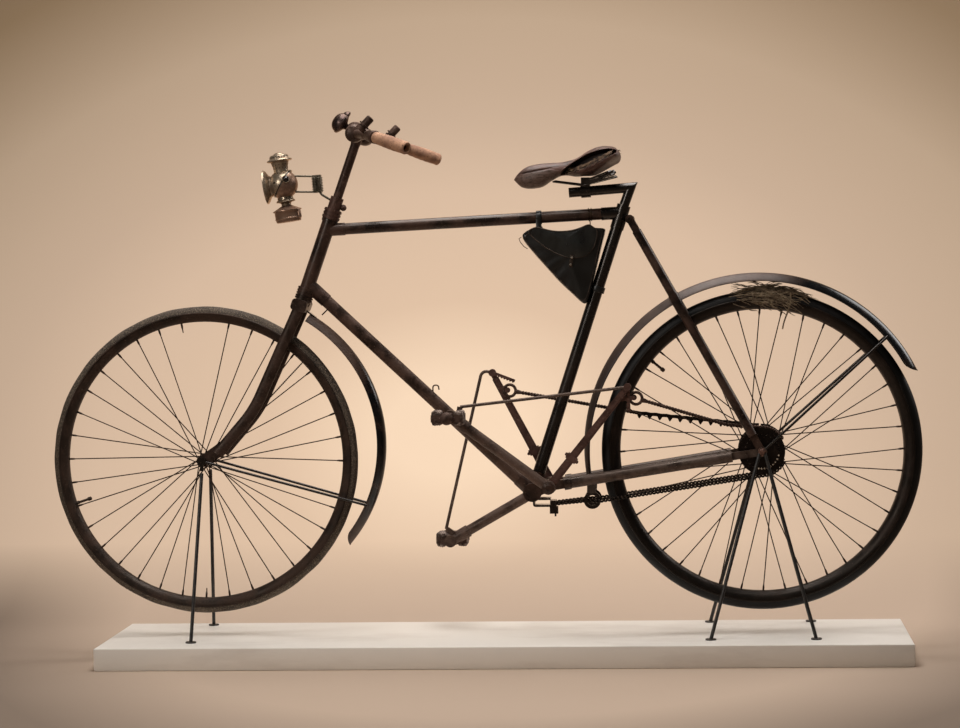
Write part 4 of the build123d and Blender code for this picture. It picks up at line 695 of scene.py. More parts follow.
rng = np.random.default_rng(41)
strands = []
for k in range(STRAW_STRANDS):
    middle = rng.normal((STRAW_FROM + STRAW_TO) / 2 + 1.5, 4.6)
    half = rng.uniform(2.5, 7.5)
    turn = rng.uniform(-1.75, 1.75)
    drift = rng.uniform(-1.3, 1.3)
    reach = rng.uniform(STRAW_LOW, STRAW_HIGH)
    rise = rng.uniform(-0.001, 0.002)
    thick = rng.uniform(0.0006, 0.0012)
    strands.append(straw_strand(
        rng, middle - half, middle + half, turn, turn + drift, reach, reach + rise, thick))
for k in range(LOOSE_ENDS):
    end = rng.choice(LOOSE_FROM)
    way = 1.0 if end > 90.0 else -1.0
    lift = rng.uniform(0.004, 0.013)
    turn = rng.uniform(-0.9, 0.9)
    over = rng.uniform(0.5, 3.5)
    drift = rng.uniform(-0.5, 0.5)
    strands.append(straw_strand(
        rng, end - way * 5.0, end + way * over, turn, turn + drift,
        STRAW_HIGH - 0.003, STRAW_HIGH + lift, 0.0007))
# The hanging end is three cords, twisted together.
hang = np.linspace(0.0, 1.0, TWIST_STEPS)
drop = np.minimum(0.0225 - 0.085 * hang, 0.02)
sway = np.radians(101.0) + 0.010 * np.sin(hang * 5.0)
ray = np.stack([np.cos(sway), np.zeros(TWIST_STEPS), np.sin(sway)], axis=1)
middle_line = axle_of("rear") + (WHEELS["rear"]["circle"] + drop)[:, None] * ray
for phase in (0.0, 2.1, 4.2):
    path = middle_line.copy()
    path[:, 0] += TWIST_THICK * np.cos(hang * 34.0 + phase)
    path[:, 1] = 0.0262 - 0.004 * hang + TWIST_THICK * np.sin(hang * 34.0 + phase)
    strands.append(sweep(path, circle(TWIST_THICK * (1.0 - 0.5 * hang), 5), (0, 1, 0)))
straw_tone, tree, shader, place = new_material("straw")
streaks = noise(tree, place, 130.0, 4.0, 0.8)
surface(tree, shader, ramp(tree, streaks, STRAW_TONES), 0.85)
add_piece("straw_strands", strands, straw_tone, "rear_wheel", "straw_bundle")

# ---- saddle -------------------------------------------------------------------------------------
# A sprung leather saddle in two lobes, with a pointed nose and a narrow waist. Its brown leather is
# dry and creased; the near side of the rear lobe has split and shows the padding within, darkened
# by painted shade in the split's hollow.
SADDLE_ROWS, SADDLE_COLUMNS = 150, 112
#                  x,      top,   bottom, half width: the leather's outline from nose to cantle
SADDLE_OUTLINE = np.array([
    (-0.0345, 1.0786, 1.0766, 0.0015),
    (-0.0400, 1.0865, 1.0705, 0.0100),
    (-0.0500, 1.0967, 1.0611, 0.0200),
    (-0.0630, 1.1055, 1.0570, 0.0270),
    (-0.0800, 1.1102, 1.0568, 0.0320),
    (-0.1000, 1.1130, 1.0608, 0.0330),
    (-0.1200, 1.1139, 1.0736, 0.0315),
    (-0.1400, 1.1146, 1.0835, 0.0320),
    (-0.1580, 1.1178, 1.0845, 0.0370),
    (-0.1720, 1.1212, 1.0820, 0.0460),
    (-0.1840, 1.1268, 1.0820, 0.0560),
    (-0.1980, 1.1364, 1.0841, 0.0680),
    (-0.2140, 1.1444, 1.0881, 0.0790),
    (-0.2320, 1.1491, 1.0960, 0.0870),
    (-0.2500, 1.1491, 1.1057, 0.0890),
    (-0.2630, 1.1464, 1.1125, 0.0840),
    (-0.2710, 1.1399, 1.1165, 0.0700),
    (-0.2755, 1.1300, 1.1230, 0.0450),
])


def smooth_table(table, rows):
    """A table of places along a form, read off at many rows by a smooth (monotone) curve."""
    at = np.concatenate([[0.0], np.cumsum(np.linalg.norm(np.diff(table[:, :2], axis=0), axis=1))])
    slope = np.gradient(table, at, axis=0)
    new = np.linspace(0.0, at[-1], rows)
    k = np.clip(np.searchsorted(at, new, side="right") - 1, 0, len(at) - 2)
    span = (at[k + 1] - at[k])[:, None]
    t = ((new - at[k]) / (at[k + 1] - at[k]))[:, None]
    h00, h10 = 2 * t**3 - 3 * t**2 + 1, t**3 - 2 * t**2 + t
    h01, h11 = -2 * t**3 + 3 * t**2, t**3 - t**2
    return h00 * table[k] + h10 * span * slope[k] + h01 * table[k + 1] + h11 * span * slope[k + 1]


def gauss(value, middle, width):
    """A smooth bump of height 1."""
    return np.exp(-(((value - middle) / width) ** 2))


def saddle_skin(rows, columns):
    """The leather as rings round the saddle: column angle 0 is its left edge, a quarter turn its
    top. The section is flatter above than a true ellipse, and its flanks hang down."""
    table = smooth_table(SADDLE_OUTLINE, rows)
    x, top, bottom, half = (table[:, k][:, None] for k in range(4))
    angle = np.linspace(0.0, 2 * math.pi, columns, endpoint=False)[None]
    across, up = np.cos(angle), np.sin(angle)
    edge = bottom + (top - bottom) * 0.42
    above = edge + (top - edge) * np.abs(up) ** 0.8
    below = edge - (edge - bottom) * np.abs(up) ** 1.15
    z = np.where(up > 0, above, below)
    y = half * np.sign(across) * np.abs(across) ** 0.82
    grid = np.stack(np.broadcast_arrays(x, y, z), axis=2)
    # a crease below each flank's shoulder, and a shallow dip along the top of the rear lobe
    crease = gauss(angle, 0.42, 0.10) + gauss(angle, math.pi - 0.42, 0.10)
    front = np.clip((x + 0.150) / 0.05, 0.0, 1.0)
    grid[..., 1] *= 1.0 - 0.07 * crease * front
    grid[..., 2] -= 0.006 * gauss(grid[..., 1], 0.0, 0.018) * np.clip((-0.19 - x) / 0.03, 0.0, 1.0)
    return grid, x


skin, x = saddle_skin(SADDLE_ROWS, SADDLE_COLUMNS)
# The split runs from the waist to the back of the left flank, between an upper and a lower lip. A
# sewn line divides each flank of the nose from the top.
#                x,   lower,  upper
SPLIT_LIPS = np.array([
    (-0.2700, 1.1340, 1.1370), (-0.2620, 1.1290, 1.1385), (-0.2500, 1.1220, 1.1400),
    (-0.2280, 1.1120, 1.1375), (-0.2000, 1.1000, 1.1280), (-0.1740, 1.0925, 1.1145),
    (-0.1580, 1.0890, 1.1040), (-0.1450, 1.0870, 1.0940), (-0.1390, 1.0850, 1.0860),
])
SPLIT_IN, SPLIT_SOFT, LIP_PROUD = 0.030, 0.0006, 0.0036
#               x,      z of the sewn line
SEWN = np.array([
    (-0.1480, 1.0905), (-0.1430, 1.0925), (-0.1190, 1.0975), (-0.0915, 1.0945), (-0.0487, 1.0865),
    (-0.0400, 1.0810),
])
SEAM_PROUD, SEAM_GROOVE = 0.0010, 0.0012
across, high = skin[..., 1], skin[..., 2]
low_lip = np.interp(x, SPLIT_LIPS[:, 0], SPLIT_LIPS[:, 1])
low_lip = low_lip + 0.0008 * np.sin(x * 900.0) + 0.0005 * np.sin(x * 2300.0)
high_lip = np.interp(x, SPLIT_LIPS[:, 0], SPLIT_LIPS[:, 2]) + 0.0004 * np.sin(x * 1100.0 + 2.0)
opened = np.clip((x + 0.2700) / 0.006, 0.0, 1.0) * np.clip((-0.1395 - x) / 0.008, 0.0, 1.0)
opened = opened * (across > 0.004)
inside = 1.0 / (1.0 + np.exp(-(high - low_lip) / SPLIT_SOFT))
inside = inside / (1.0 + np.exp((high - high_lip) / SPLIT_SOFT)) * opened
lips = (gauss(high, low_lip - 0.0016, 0.0016) + 1.3 * gauss(high, high_lip + 0.0016, 0.0018)) * opened
sewn_line = np.interp(x, SEWN[:, 0], SEWN[:, 1])
nose = np.clip((x + 0.1480) / 0.02, 0.0, 1.0)
seam = gauss(high, sewn_line, 0.0011) * nose
groove = gauss(high, sewn_line + 0.0026, 0.0014) * nose
flank = nose / (1.0 + np.exp((high - sewn_line) / 0.0009))
skin[..., 1] -= inside * SPLIT_IN
skin[..., 1] += LIP_PROUD * lips + (SEAM_PROUD * seam - SEAM_GROOVE * groove) * np.sign(across)


def attribute(tree, name):
    """A share that the mesh's points carry under a name."""
    node = tree.nodes.new("ShaderNodeAttribute")
    node.attribute_name = name
    return node.outputs["Fac"]


TOP_BROWN, TOP_DARK = (0.130, 0.060, 0.043), (0.044, 0.021, 0.015)
FLANK_PALE, FLANK_GREY, FLANK_CRACK = (0.20, 0.132, 0.104), (0.125, 0.074, 0.056), (0.030, 0.017, 0.012)
# The padding's near-black lowest tone is painted shade in the split's hollow; its fibres and paler hair are
# its own colour.
PADDING_AND_SHADE = [(0.47, (0.0015, 0.0012, 0.001)), (0.60, (0.022, 0.012, 0.008)), (0.74, (0.13, 0.075, 0.04))]
leather, tree, shader, place = new_material("saddle_leather")
pores = noise(tree, place, 420.0, 6.0, 0.7)
wear = noise(tree, place, 40.0, 7.0, 0.65, stretch=(0.5, 1.0, 1.6))
cracks = noise(tree, place, 230.0, 7.0, 0.75, stretch=(0.45, 1.0, 1.3))
top = ramp(tree, wear, [(0.38, TOP_DARK), (0.62, TOP_BROWN), (0.82, FLANK_GREY)])
side = ramp(tree, cracks, [(0.36, FLANK_CRACK), (0.50, FLANK_GREY), (0.75, FLANK_PALE)])
flank_share, torn = attribute(tree, "flank"), attribute(tree, "torn")
fibres = noise(tree, place, 90.0, 8.0, 0.85, stretch=(0.8, 1.0, 2.4), turn=(0.0, 25.0, 0.0))
toned = blended(tree, torn, blended(tree, flank_share, top, side), ramp(tree, fibres, PADDING_AND_SHADE))
surface(tree, shader, toned, ramp(tree, wear, [(0.3, 0.36), (0.7, 0.6)]))
relief(tree, shader, blended(tree, torn, pores, fibres), 0.6, 0.0012)
saddle = add_piece("saddle_leather", [(skin, "tube")], leather, "frame", "saddle", 60.0)
for name, share in (("torn", inside), ("flank", flank)):
    values = np.zeros(len(saddle.data.vertices), dtype=np.float32)
    values[:share.size] = share.ravel()
    saddle.data.attributes.new(name, "FLOAT", "POINT").data.foreach_set("value", values)
# Horsehair shows along the split's lower lip, and threads stand out at its back end.
HAIRS, HAIR_STEPS, TUFTS = 46, 9, 9
HAIR_DARK, HAIR_PALE = (0.05, 0.028, 0.018), (0.30, 0.19, 0.11)
TUFT_TAPER = np.array([0.0009, 0.0008, 0.0006, 0.0003])
rng = np.random.default_rng(7)
hair = []
for k in range(HAIRS):
    at = np.sort(rng.uniform(-0.262, -0.150, 2))
    line = np.linspace(at[0], at[1], HAIR_STEPS)
    lift = rng.uniform(0.0, 0.010) + 0.0015 * np.sin(line * rng.uniform(120.0, 300.0) + k)
    z = np.interp(line, SPLIT_LIPS[:, 0], SPLIT_LIPS[:, 1]) + lift
    wide = np.interp(line, skin[::-1, 0, 0], skin[:, :, 1].max(axis=1)[::-1])
    y = wide - 0.004 - 0.5 * lift + rng.uniform(-0.001, 0.0005)
    path = np.stack([line, y, z], axis=1)
    hair.append(sweep(path, circle(rng.uniform(0.0003, 0.0007), 4), (0, 1, 0)))
for k in range(TUFTS):
    tuft = np.array([-0.2690, rng.uniform(0.010, 0.045), rng.uniform(1.1230, 1.1400)])
    tip = tuft + (rng.uniform(-0.010, -0.004), 0.002, rng.uniform(-0.004, 0.006))
    hair.append(sweep(np.linspace(tuft, tip, 4), circle(TUFT_TAPER, 4), (0, 1, 0)))
horsehair, tree, shader, place = new_material("horsehair")
surface(tree, shader, ramp(tree, noise(tree, place, 90.0), [(0.40, HAIR_DARK), (0.68, HAIR_PALE)]), 0.8)
add_piece("saddle_horsehair", hair, horsehair, "frame")

# ---- tool bag -----------------------------------------------------------------------------------
# A three-cornered bag of black harness leather hangs in the frame. Its mouth sags between its two
# hangers, a rounded flap closes with a thin strap and stud, and its front corner is frayed.
BAG_HALF, BAG_COLUMNS, BAG_PILLOW = 0.026, 160, 0.005
#              x,       z, walking round the near face from its front corner
BAG_OUTLINE = np.array([
    (-0.0480, 0.9490), (-0.0610, 0.9625), (-0.0830, 0.9690), (-0.0960, 0.9660), (-0.1150, 0.9600),
    (-0.1370, 0.9575), (-0.1640, 0.9590), (-0.1860, 0.9655), (-0.2030, 0.9740), (-0.2130, 0.9660),
    (-0.2380, 0.9650), (-0.2400, 0.9600), (-0.2300, 0.9250), (-0.2200, 0.8830), (-0.2080, 0.8330),
    (-0.1960, 0.7935), (-0.1850, 0.7960), (-0.1650, 0.8160), (-0.1370, 0.8420), (-0.1050, 0.8790),
    (-0.0700, 0.9190),
])
#               x,       z, round the flap, whose top edge follows the mouth
FLAP_OUTLINE = np.array([
    (-0.0620, 0.9600), (-0.0830, 0.9700), (-0.0960, 0.9670), (-0.1150, 0.9610), (-0.1370, 0.9585),
    (-0.1640, 0.9600), (-0.1860, 0.9665), (-0.2030, 0.9745), (-0.2130, 0.9670), (-0.2230, 0.9600),
    (-0.2190, 0.9350), (-0.2080, 0.9130), (-0.1930, 0.9020), (-0.1720, 0.8985), (-0.1500, 0.9010),
    (-0.1250, 0.9110), (-0.0950, 0.9300),
])


def closed_curve(points, count, soften=2):
    """Many points evenly along a closed outline whose corners have been rounded (Chaikin's rule)."""
    for _ in range(soften):
        after = np.roll(points, -1, axis=0)
        points = np.stack([0.75 * points + 0.25 * after, 0.25 * points + 0.75 * after], axis=1).reshape(-1, 2)
    around = np.concatenate([points, points[:1]])
    at = np.concatenate([[0.0], np.cumsum(np.linalg.norm(np.diff(around, axis=0), axis=1))])
    new = np.linspace(0.0, at[-1], count, endpoint=False)
    return np.stack([np.interp(new, at, around[:, 0]), np.interp(new, at, around[:, 1])], axis=1)


def slab(outline, layers):
    """Rings that fill an outline: layers are (share of its size, y), from one face to the other."""
    centre = outline.mean(axis=0)
    rings = [centre + (outline - centre) * share for share, _ in layers]
    side = [np.full((len(outline), 1), y) for _, y in layers]
    return np.stack([np.concatenate([ring[:, :1], y, ring[:, 1:]], axis=1) for ring, y in zip(rings, side)])


def pillow(share, half, proud):
    """How far a soft face stands out at a share of the way from its middle to its edge."""
    return half + proud * (1.0 - share ** 2.2)


def hoop(centre, way, radius, steps=40):
    """A closed ring's path square to a way, such as round a tube."""
    turn = np.linspace(0.0, 2 * math.pi, steps, endpoint=False)[:, None]
    first = np.cross(way, (0.0, 1.0, 0.0) if abs(way[1]) < 0.9 else (1.0, 0.0, 0.0))
    first /= np.linalg.norm(first)
    return centre + radius * (np.cos(turn) * first + np.sin(turn) * np.cross(way, first))


def ring_sweep(path, outline):
    """A shell round a closed path: the outline's first measure is outwards, its second sideways."""
    middle = path.mean(axis=0)
    out = path - middle
    out /= np.linalg.norm(out, axis=1, keepdims=True)
    along = np.roll(path, -1, axis=0) - np.roll(path, 1, axis=0)
    side = np.cross(along, out)
    side /= np.linalg.norm(side, axis=1, keepdims=True)
    grid = path[:, None] + outline[None, :, 0:1] * out[:, None] + outline[None, :, 1:2] * side[:, None]
    return grid, "ring"


def harness_hide(name, tones, gloss):
    """Black harness leather: dark and worn tones by its creases, with a painted sheen tone between them,
    under a greasy coat.
    """
    material, tree, shader, place = new_material(name)
    grain = noise(tree, place, 520.0, 5.0, 0.65)
    creases = noise(tree, place, 38.0, 8.0, 0.7, stretch=(1.0, 1.0, 0.6))
    toned = ramp(tree, creases, list(zip((0.35, 0.62, 0.82), tones)))
    surface(tree, shader, toned, ramp(tree, creases, [(0.3, gloss), (0.7, gloss + 0.2)]))
    shader.inputs["Specular IOR Level"].default_value = 0.35
    relief(tree, shader, blended(tree, creases, grain, creases), 0.5, 0.0012)
    return lacquered(material, 0.45, gloss)


# The middle tone of each set is a painted sheen.
BAG_TONES = ((0.0012, 0.0011, 0.001), (0.0035, 0.0036, 0.0032), (0.018, 0.0145, 0.011))
# The flap's tones are the bag's made about three times lighter: a painted highlight on the flap.
FLAP_HIGHLIGHT_TONES = ((0.004, 0.0042, 0.0038), (0.012, 0.0125, 0.011), (0.035, 0.032, 0.027))
hide = harness_hide("bag_leather", BAG_TONES, 0.30)
flap_hide_highlit = harness_hide("flap_leather_highlit", FLAP_HIGHLIGHT_TONES, 0.24)
# Lighter leather for the seams, the welt and the closing strap: worn edges, and on the seams and welt also a
# painted highlight.
hide_edge = aged_metal(
    "hide_edge", (0.020, 0.015, 0.012), (0.050, 0.036, 0.028), (0.13, 0.10, 0.08),
    0.5, 0.0, (0.4, 0.6), 60.0)

bag_edge = closed_curve(BAG_OUTLINE, BAG_COLUMNS)
shares = np.array([0.02, 0.25, 0.5, 0.72, 0.88, 0.96])
face = [(s, pillow(s, BAG_HALF - 0.002, BAG_PILLOW)) for s in shares]
sides = [(0.995, BAG_HALF - 0.006), (0.985, 0.010), (0.985, -0.010), (0.995, 0.006 - BAG_HALF)]
layers = face + sides + [(s, -y) for s, y in reversed(face)]
bag_skin = slab(bag_edge, layers)
sag = 0.0016 * np.sin(bag_skin[..., 0] * 120.0 + bag_skin[..., 2] * 60.0) * np.sin(bag_skin[..., 2] * 95.0)
bag_skin[..., 1] += sag * np.sign(bag_skin[..., 1])
bag = add_piece("bag_pouch", [(bag_skin, "tube")], hide, "frame", "tool_bag", 50.0)
# A raised seam runs inside the near face's edge, where the gusset is sewn to it. Its lighter leather is
# partly wear and partly a painted highlight.
piping = slab(bag_edge, [(0.925, pillow(0.925, BAG_HALF - 0.002, BAG_PILLOW) + 0.0002)])[0]
piping = [ring_sweep(piping, circle(0.0011, 6))]
add_piece("bag_piping", piping, hide_edge, "frame")

FLAP_THICK, FLAP_CLEAR = 0.0024, 0.0012
flap_edge = closed_curve(FLAP_OUTLINE, 120)
flap_shares = np.array([0.02, 0.3, 0.6, 0.8, 0.92, 1.0])
outer_y = [(s, pillow(0.55 + 0.4 * s, BAG_HALF, BAG_PILLOW) + FLAP_CLEAR + FLAP_THICK) for s in flap_shares]
inner_y = [(s, y - FLAP_THICK) for s, y in reversed(outer_y)]
flap_skin = slab(flap_edge, outer_y + inner_y)
flap_skin[..., 1] += 0.0050 * gauss(flap_skin[..., 0], -0.178, 0.028) * gauss(flap_skin[..., 2], 0.920, 0.022)
add_piece("bag_flap", [(flap_skin, "tube")], flap_hide_highlit, "frame", smooth_below=50.0)
# The welt's lighter leather is partly a painted highlight along the flap's lit edge.
welt_path = np.concatenate([flap_edge, flap_edge[:1]])
welt_y = np.full(len(welt_path), outer_y[-1][1] - 0.0002)
welt_path = np.stack([welt_path[:, 0], welt_y, welt_path[:, 1]], axis=1)
welt = [sweep(welt_path, circle(0.0015, 6), (0, 1, 0))]
add_piece("bag_flap_welt", welt, hide_edge, "frame")
stud_steel = aged_metal(
    "stud_steel", (0.26, 0.22, 0.18), (0.10, 0.075, 0.058), (0.5, 0.45, 0.38),
    0.55, 0.6, (0.3, 0.5), 80.0)
STUD_X, STUD_Z = -0.1640, 0.8995
FOOT_X, FOOT_Z = -0.1610, 0.8840  # the lower stud, which holds the closing strap's foot
STUD = [(-0.002, 0.0030), (0.001, 0.0030), (0.003, 0.0024), (0.0038, 0.0008)]
stud_y = BAG_HALF + BAG_PILLOW + 0.0035
studs = [turned(at, (0, 1, 0), STUD, 12)
         for at in ((STUD_X, stud_y, STUD_Z), (FOOT_X, stud_y - 0.003, FOOT_Z))]
add_piece("bag_studs", studs, stud_steel, "frame")
closing = np.array([
    (STUD_X, stud_y, STUD_Z + 0.006), (STUD_X + 0.001, stud_y + 0.001, STUD_Z - 0.004),
    (FOOT_X, stud_y - 0.001, FOOT_Z + 0.003), (FOOT_X, stud_y - 0.003, FOOT_Z - 0.006),
])
closing = [sweep(closing, rounded(0.0080, 0.0022, 0.0008, 3), (1, 0, 0))]
add_piece("bag_closing_strap", closing, hide_edge, "frame")

TOP_TUBE_AT, TOP_TUBE_R = ((0.3949, 0.9718), (-0.2763, 0.9987)), 0.0130
SEAT_TUBE_AT, SEAT_TUBE_R = ((-0.0652, 0.3697), (-0.2763, 0.9987)), 0.0140


def tube_point(tube, share):
    """A point on a frame tube's middle line, and the way the tube runs."""
    a, b = (np.array([x, 0.0, z]) for x, z in tube)
    return a + (b - a) * share, (b - a) / np.linalg.norm(b - a)


# The front hanger loops round the top tube and its two tails meet in a collar above the bag. The
# rear one is buckled round the seat tube.
HANGER_AT, BUCKLE_AT, WIRES_AT = 0.7215, 0.7285, 0.8935  # shares of the way along their tubes
TAIL = ((0.001, 0.0140, -0.004), (0.001, 0.0150, -0.016), (0.0, 0.0185, -0.030), (-0.001, 0.0200, -0.040))
centre, way = tube_point(TOP_TUBE_AT, HANGER_AT)
hanger_band = rounded(0.0026, 0.0120, 0.0009, 3)
straps = [ring_sweep(hoop(centre, way, TOP_TUBE_R + 0.0015), hanger_band)]
for side in (1, -1):
    tail = centre + np.array(TAIL) * (1.0, side, 1.0)
    straps.append(sweep(tail, rounded(0.0024, 0.0110, 0.0008, 3), (0, 1, 0)))
collar = centre + np.array([(0.0, 0.0, -0.0205), (0.0, 0.0, -0.0270)])
straps.append(sweep(collar, rounded(0.0340, 0.0150, 0.003, 3), (0, 1, 0)))
centre, way = tube_point(SEAT_TUBE_AT, BUCKLE_AT)
seat_band = rounded(0.0030, 0.0140, 0.0009, 3)
straps.append(ring_sweep(hoop(centre, way, SEAT_TUBE_R + 0.0016), seat_band))
tongue = centre - (SEAT_TUBE_R + 0.001) * np.cross(way, (0.0, 1.0, 0.0))
tongue = tongue + np.array([(0.0, 0.006, 0.0), (-0.009, 0.007, -0.003), (-0.013, 0.007, -0.010)])
straps.append(sweep(tongue, rounded(0.0120, 0.0032, 0.001, 3), (0, 1, 0)))
add_piece("bag_leather_straps", straps, hide, "frame", "bag_straps")

# Two turns of brass wire and a ring hang the bag's front corner, and a loose end curls at it.
BRASS, BRASS_DULL, BRASS_BRIGHT = (0.10, 0.066, 0.036), (0.045, 0.029, 0.018), (0.26, 0.18, 0.11)
old_brass = aged_metal("old_brass", BRASS, BRASS_DULL, BRASS_BRIGHT, 0.5, 0.8, (0.35, 0.6), 90.0)
centre, way = tube_point(TOP_TUBE_AT, WIRES_AT)
wire_outline = circle(0.0011, 6)
wires = []
for shift in (-0.0028, 0.0030):
    wires.append(ring_sweep(hoop(centre + way * shift, way, TOP_TUBE_R + 0.0012), wire_outline))
ring_centre = centre + np.array([0.0, 0.0, -TOP_TUBE_R - 0.0055])
wires.append(ring_sweep(hoop(ring_centre, way, 0.0055, 24), wire_outline))
fray = np.array([
    (-0.0500, 0.020, 0.9480), (-0.0445, 0.022, 0.9440), (-0.0480, 0.024, 0.9360), (-0.0560, 0.024, 0.9260),
    (-0.0640, 0.024, 0.9210),
])
wires.append(sweep(fray, circle(0.0009, 6), (0, 1, 0)))
add_piece("bag_wires", wires, old_brass, "frame")

# ---- treadles -----------------------------------------------------------------------------------
# Each bell crank is a steel tube lever with a flat arm, tied together at their ends by a thin rod.
# The enamel is gone: the levers are brown with a bright worn edge, and the arms a dull red-brown.
lever_brown = aged_metal(
    "lever_brown", (0.055, 0.036, 0.029), (0.115, 0.075, 0.060), (0.26, 0.19, 0.155),
    0.48, 0.2, (0.34, 0.6), 26.0)
arm_red = aged_metal(
    "arm_red", (0.062, 0.031, 0.025), (0.115, 0.060, 0.048), (0.26, 0.17, 0.14),
    0.48, 0.1, (0.5, 0.75), 34.0)
tie_brown = aged_metal(
    "tie_brown", (0.085, 0.060, 0.049), (0.130, 0.092, 0.075), (0.26, 0.20, 0.165),
    0.5, 0.3, (0.34, 0.6), 50.0)
finish_nodes("left_lever right_lever", lever_brown)
finish_nodes("left_arm right_arm", arm_red)
finish_nodes("left_tie_rod right_tie_rod", tie_brown)

# ---- pedals -------------------------------------------------------------------------------------
# Two perished rubber blocks a pedal sit between rusty end plates round a barrel that turns on the
# lever's pin. The rubber has worn to uneven lumps with remains of its grooves.
PEDAL_IN, PEDAL_OUT, BLOCK_ACROSS, BLOCK_HIGH, BLOCK_APART = 0.098, 0.176, 0.0235, 0.0370, 0.0245
BLOCK_RINGS, BLOCK_INSET, GROOVE_WIDE, GROOVE_DEEP = 26, 0.0035, 0.0012, 0.0016
PLATE_HALF, PLATE_STEPS, PLATE_THICK, PLATE_INSET = 0.0355, 15, 0.0026, 0.0015
#             distance along the pin, radius
BARREL = [(PEDAL_IN, 0.0095), (PEDAL_IN + 0.006, 0.0095), (PEDAL_IN + 0.008, 0.0085), (0.137, 0.0080),
          (PEDAL_OUT - 0.008, 0.0085), (PEDAL_OUT - 0.006, 0.0142), (PEDAL_OUT + 0.002, 0.0146),
          (PEDAL_OUT + 0.006, 0.0136), (PEDAL_OUT + 0.010, 0.0100), (PEDAL_OUT + 0.0120, 0.0050),
          (PEDAL_OUT + 0.0124, 0.0008)]
BOLT = [(PEDAL_OUT - 0.001, 0.0032), (PEDAL_OUT + 0.0014, 0.0030), (PEDAL_OUT + 0.0022, 0.0015)]
BOLTS_X = (0.015, 0.033)
CRUMBS = [(0.40, (0.014, 0.009, 0.007)), (0.47, (0.085, 0.055, 0.044)), (0.54, (0.20, 0.145, 0.12)),
          (0.62, (0.62, 0.50, 0.43))]
pedal_rubber, tree, shader, place = new_material("pedal_rubber")
crumbs = noise(tree, place, 75.0, 8.0, 0.78)
surface(tree, shader, ramp(tree, crumbs, CRUMBS), 0.82)
relief(tree, shader, crumbs, 0.8, 0.0012)
pedal_steel = aged_metal(
    "pedal_steel", (0.035, 0.022, 0.018), (0.085, 0.052, 0.042), (0.20, 0.14, 0.115),
    0.46, 0.3, (0.36, 0.6), 60.0)


def rubber_block(centre, seed):
    """One worn block along the pin: a rounded oblong section with grooves above and below, whose
    size wanders smoothly along the block and from corner to corner."""
    rng = np.random.default_rng(seed)
    section = rounded(BLOCK_ACROSS, BLOCK_HIGH, 0.007, 9)
    after = np.roll(section, -1, axis=0)
    fine = np.concatenate([np.linspace(a, b, 4, endpoint=False) for a, b in zip(section, after)])
    for groove in (-0.0055, 0.0, 0.0055):
        flat = (np.abs(fine[:, 1]) > BLOCK_HIGH * 0.45) * np.sign(fine[:, 1])
        fine[:, 1] -= flat * GROOVE_DEEP * gauss(fine[:, 0], groove, GROOVE_WIDE)
    along = np.linspace(PEDAL_IN + BLOCK_INSET, PEDAL_OUT - BLOCK_INSET, BLOCK_RINGS)
    turn = np.arctan2(fine[:, 1], fine[:, 0])[None]
    place_along = (along[:, None] - PEDAL_IN) / (PEDAL_OUT - PEDAL_IN)
    worn = np.ones((BLOCK_RINGS, len(fine)))
    for waves in range(1, 6):
        phase = rng.uniform(0.0, 6.3, 2)
        strength = rng.uniform(0.014, 0.055)
        wave = np.sin(waves * turn + phase[0]) * np.cos(waves * 2.1 * place_along + phase[1])
        worn += strength * (wave - 0.6)
    ends = 1.0 - 0.14 * np.abs(2.0 * place_along - 1.0) ** 8
    grid = fine[None] * (worn * ends)[..., None]
    y = np.broadcast_to(centre[1] * along[:, None], grid.shape[:2])
    return np.stack([centre[0] + grid[..., 0], y, centre[2] + grid[..., 1]], axis=2), "tube"


def end_plate(x, y, z):
    """A flat plate square to the pin, between two faces at the values of y. Its depth swells to the
    middle by a bell curve."""
    across = np.linspace(-PLATE_HALF, PLATE_HALF, PLATE_STEPS)
    deep = 0.0080 + 0.0055 * gauss(across, 0.0, 0.014)
    across, deep = np.concatenate([across, across[::-1]]), np.concatenate([deep, -deep[::-1]])
    faces = [np.stack([x + across, np.full(2 * PLATE_STEPS, face_y), z + deep], axis=1) for face_y in y]
    return np.stack(faces), "tube"


for name, side in (("left", 1), ("right", -1)):
    body = f"{name}_pedal_body"
    low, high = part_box(f"{name}_pedal")
    pin_x, pin_z = (low.x + high.x) / 2, (low.z + high.z) / 2
    blocks = []
    for k, way in enumerate((1, -1)):
        centre = (pin_x + way * BLOCK_APART, side, pin_z)
        blocks.append(rubber_block(centre, 60 + k + (side > 0) * 7))
    add_piece(f"{name}_pedal_blocks", blocks, pedal_rubber, body, smooth_below=60.0)
    steel = []
    for at_y in (PEDAL_IN + PLATE_INSET, PEDAL_OUT - PLATE_INSET):
        faces_y = [side * (at_y + t) for t in (-PLATE_THICK / 2, PLATE_THICK / 2)]
        steel.append(end_plate(pin_x, faces_y, pin_z))
    steel.append(turned((pin_x, 0.0, pin_z), (0, side, 0), BARREL, 28))
    for way in (1, -1):
        for bolt_x in BOLTS_X:
            steel.append(turned((pin_x + way * bolt_x, 0.0, pin_z), (0, side, 0), BOLT, 8))
    add_piece(f"{name}_pedal_steel", steel, pedal_steel, body, f"{name}_pedal")

# ---- drive chains -------------------------------------------------------------------------------
# A forged ring links each arm to its drum. The left chain is a cord of small twisted links all the
# way; the right one is twisted at the ring end and a toothed chain of dark plates at the drum.
DRUM_Y, RING_Y, CHAIN_WRAP_R, TOOTH_PITCH, TOOTH_HIGH = 0.040, 0.051, 0.054, 0.0215, 0.0085
RING_R, RING_THICK = 0.0135, 0.0034
#           height above the neck, radius
RING_NECK = [(-0.003, 0.0058), (0.004, 0.0050), (0.013, 0.0030)]
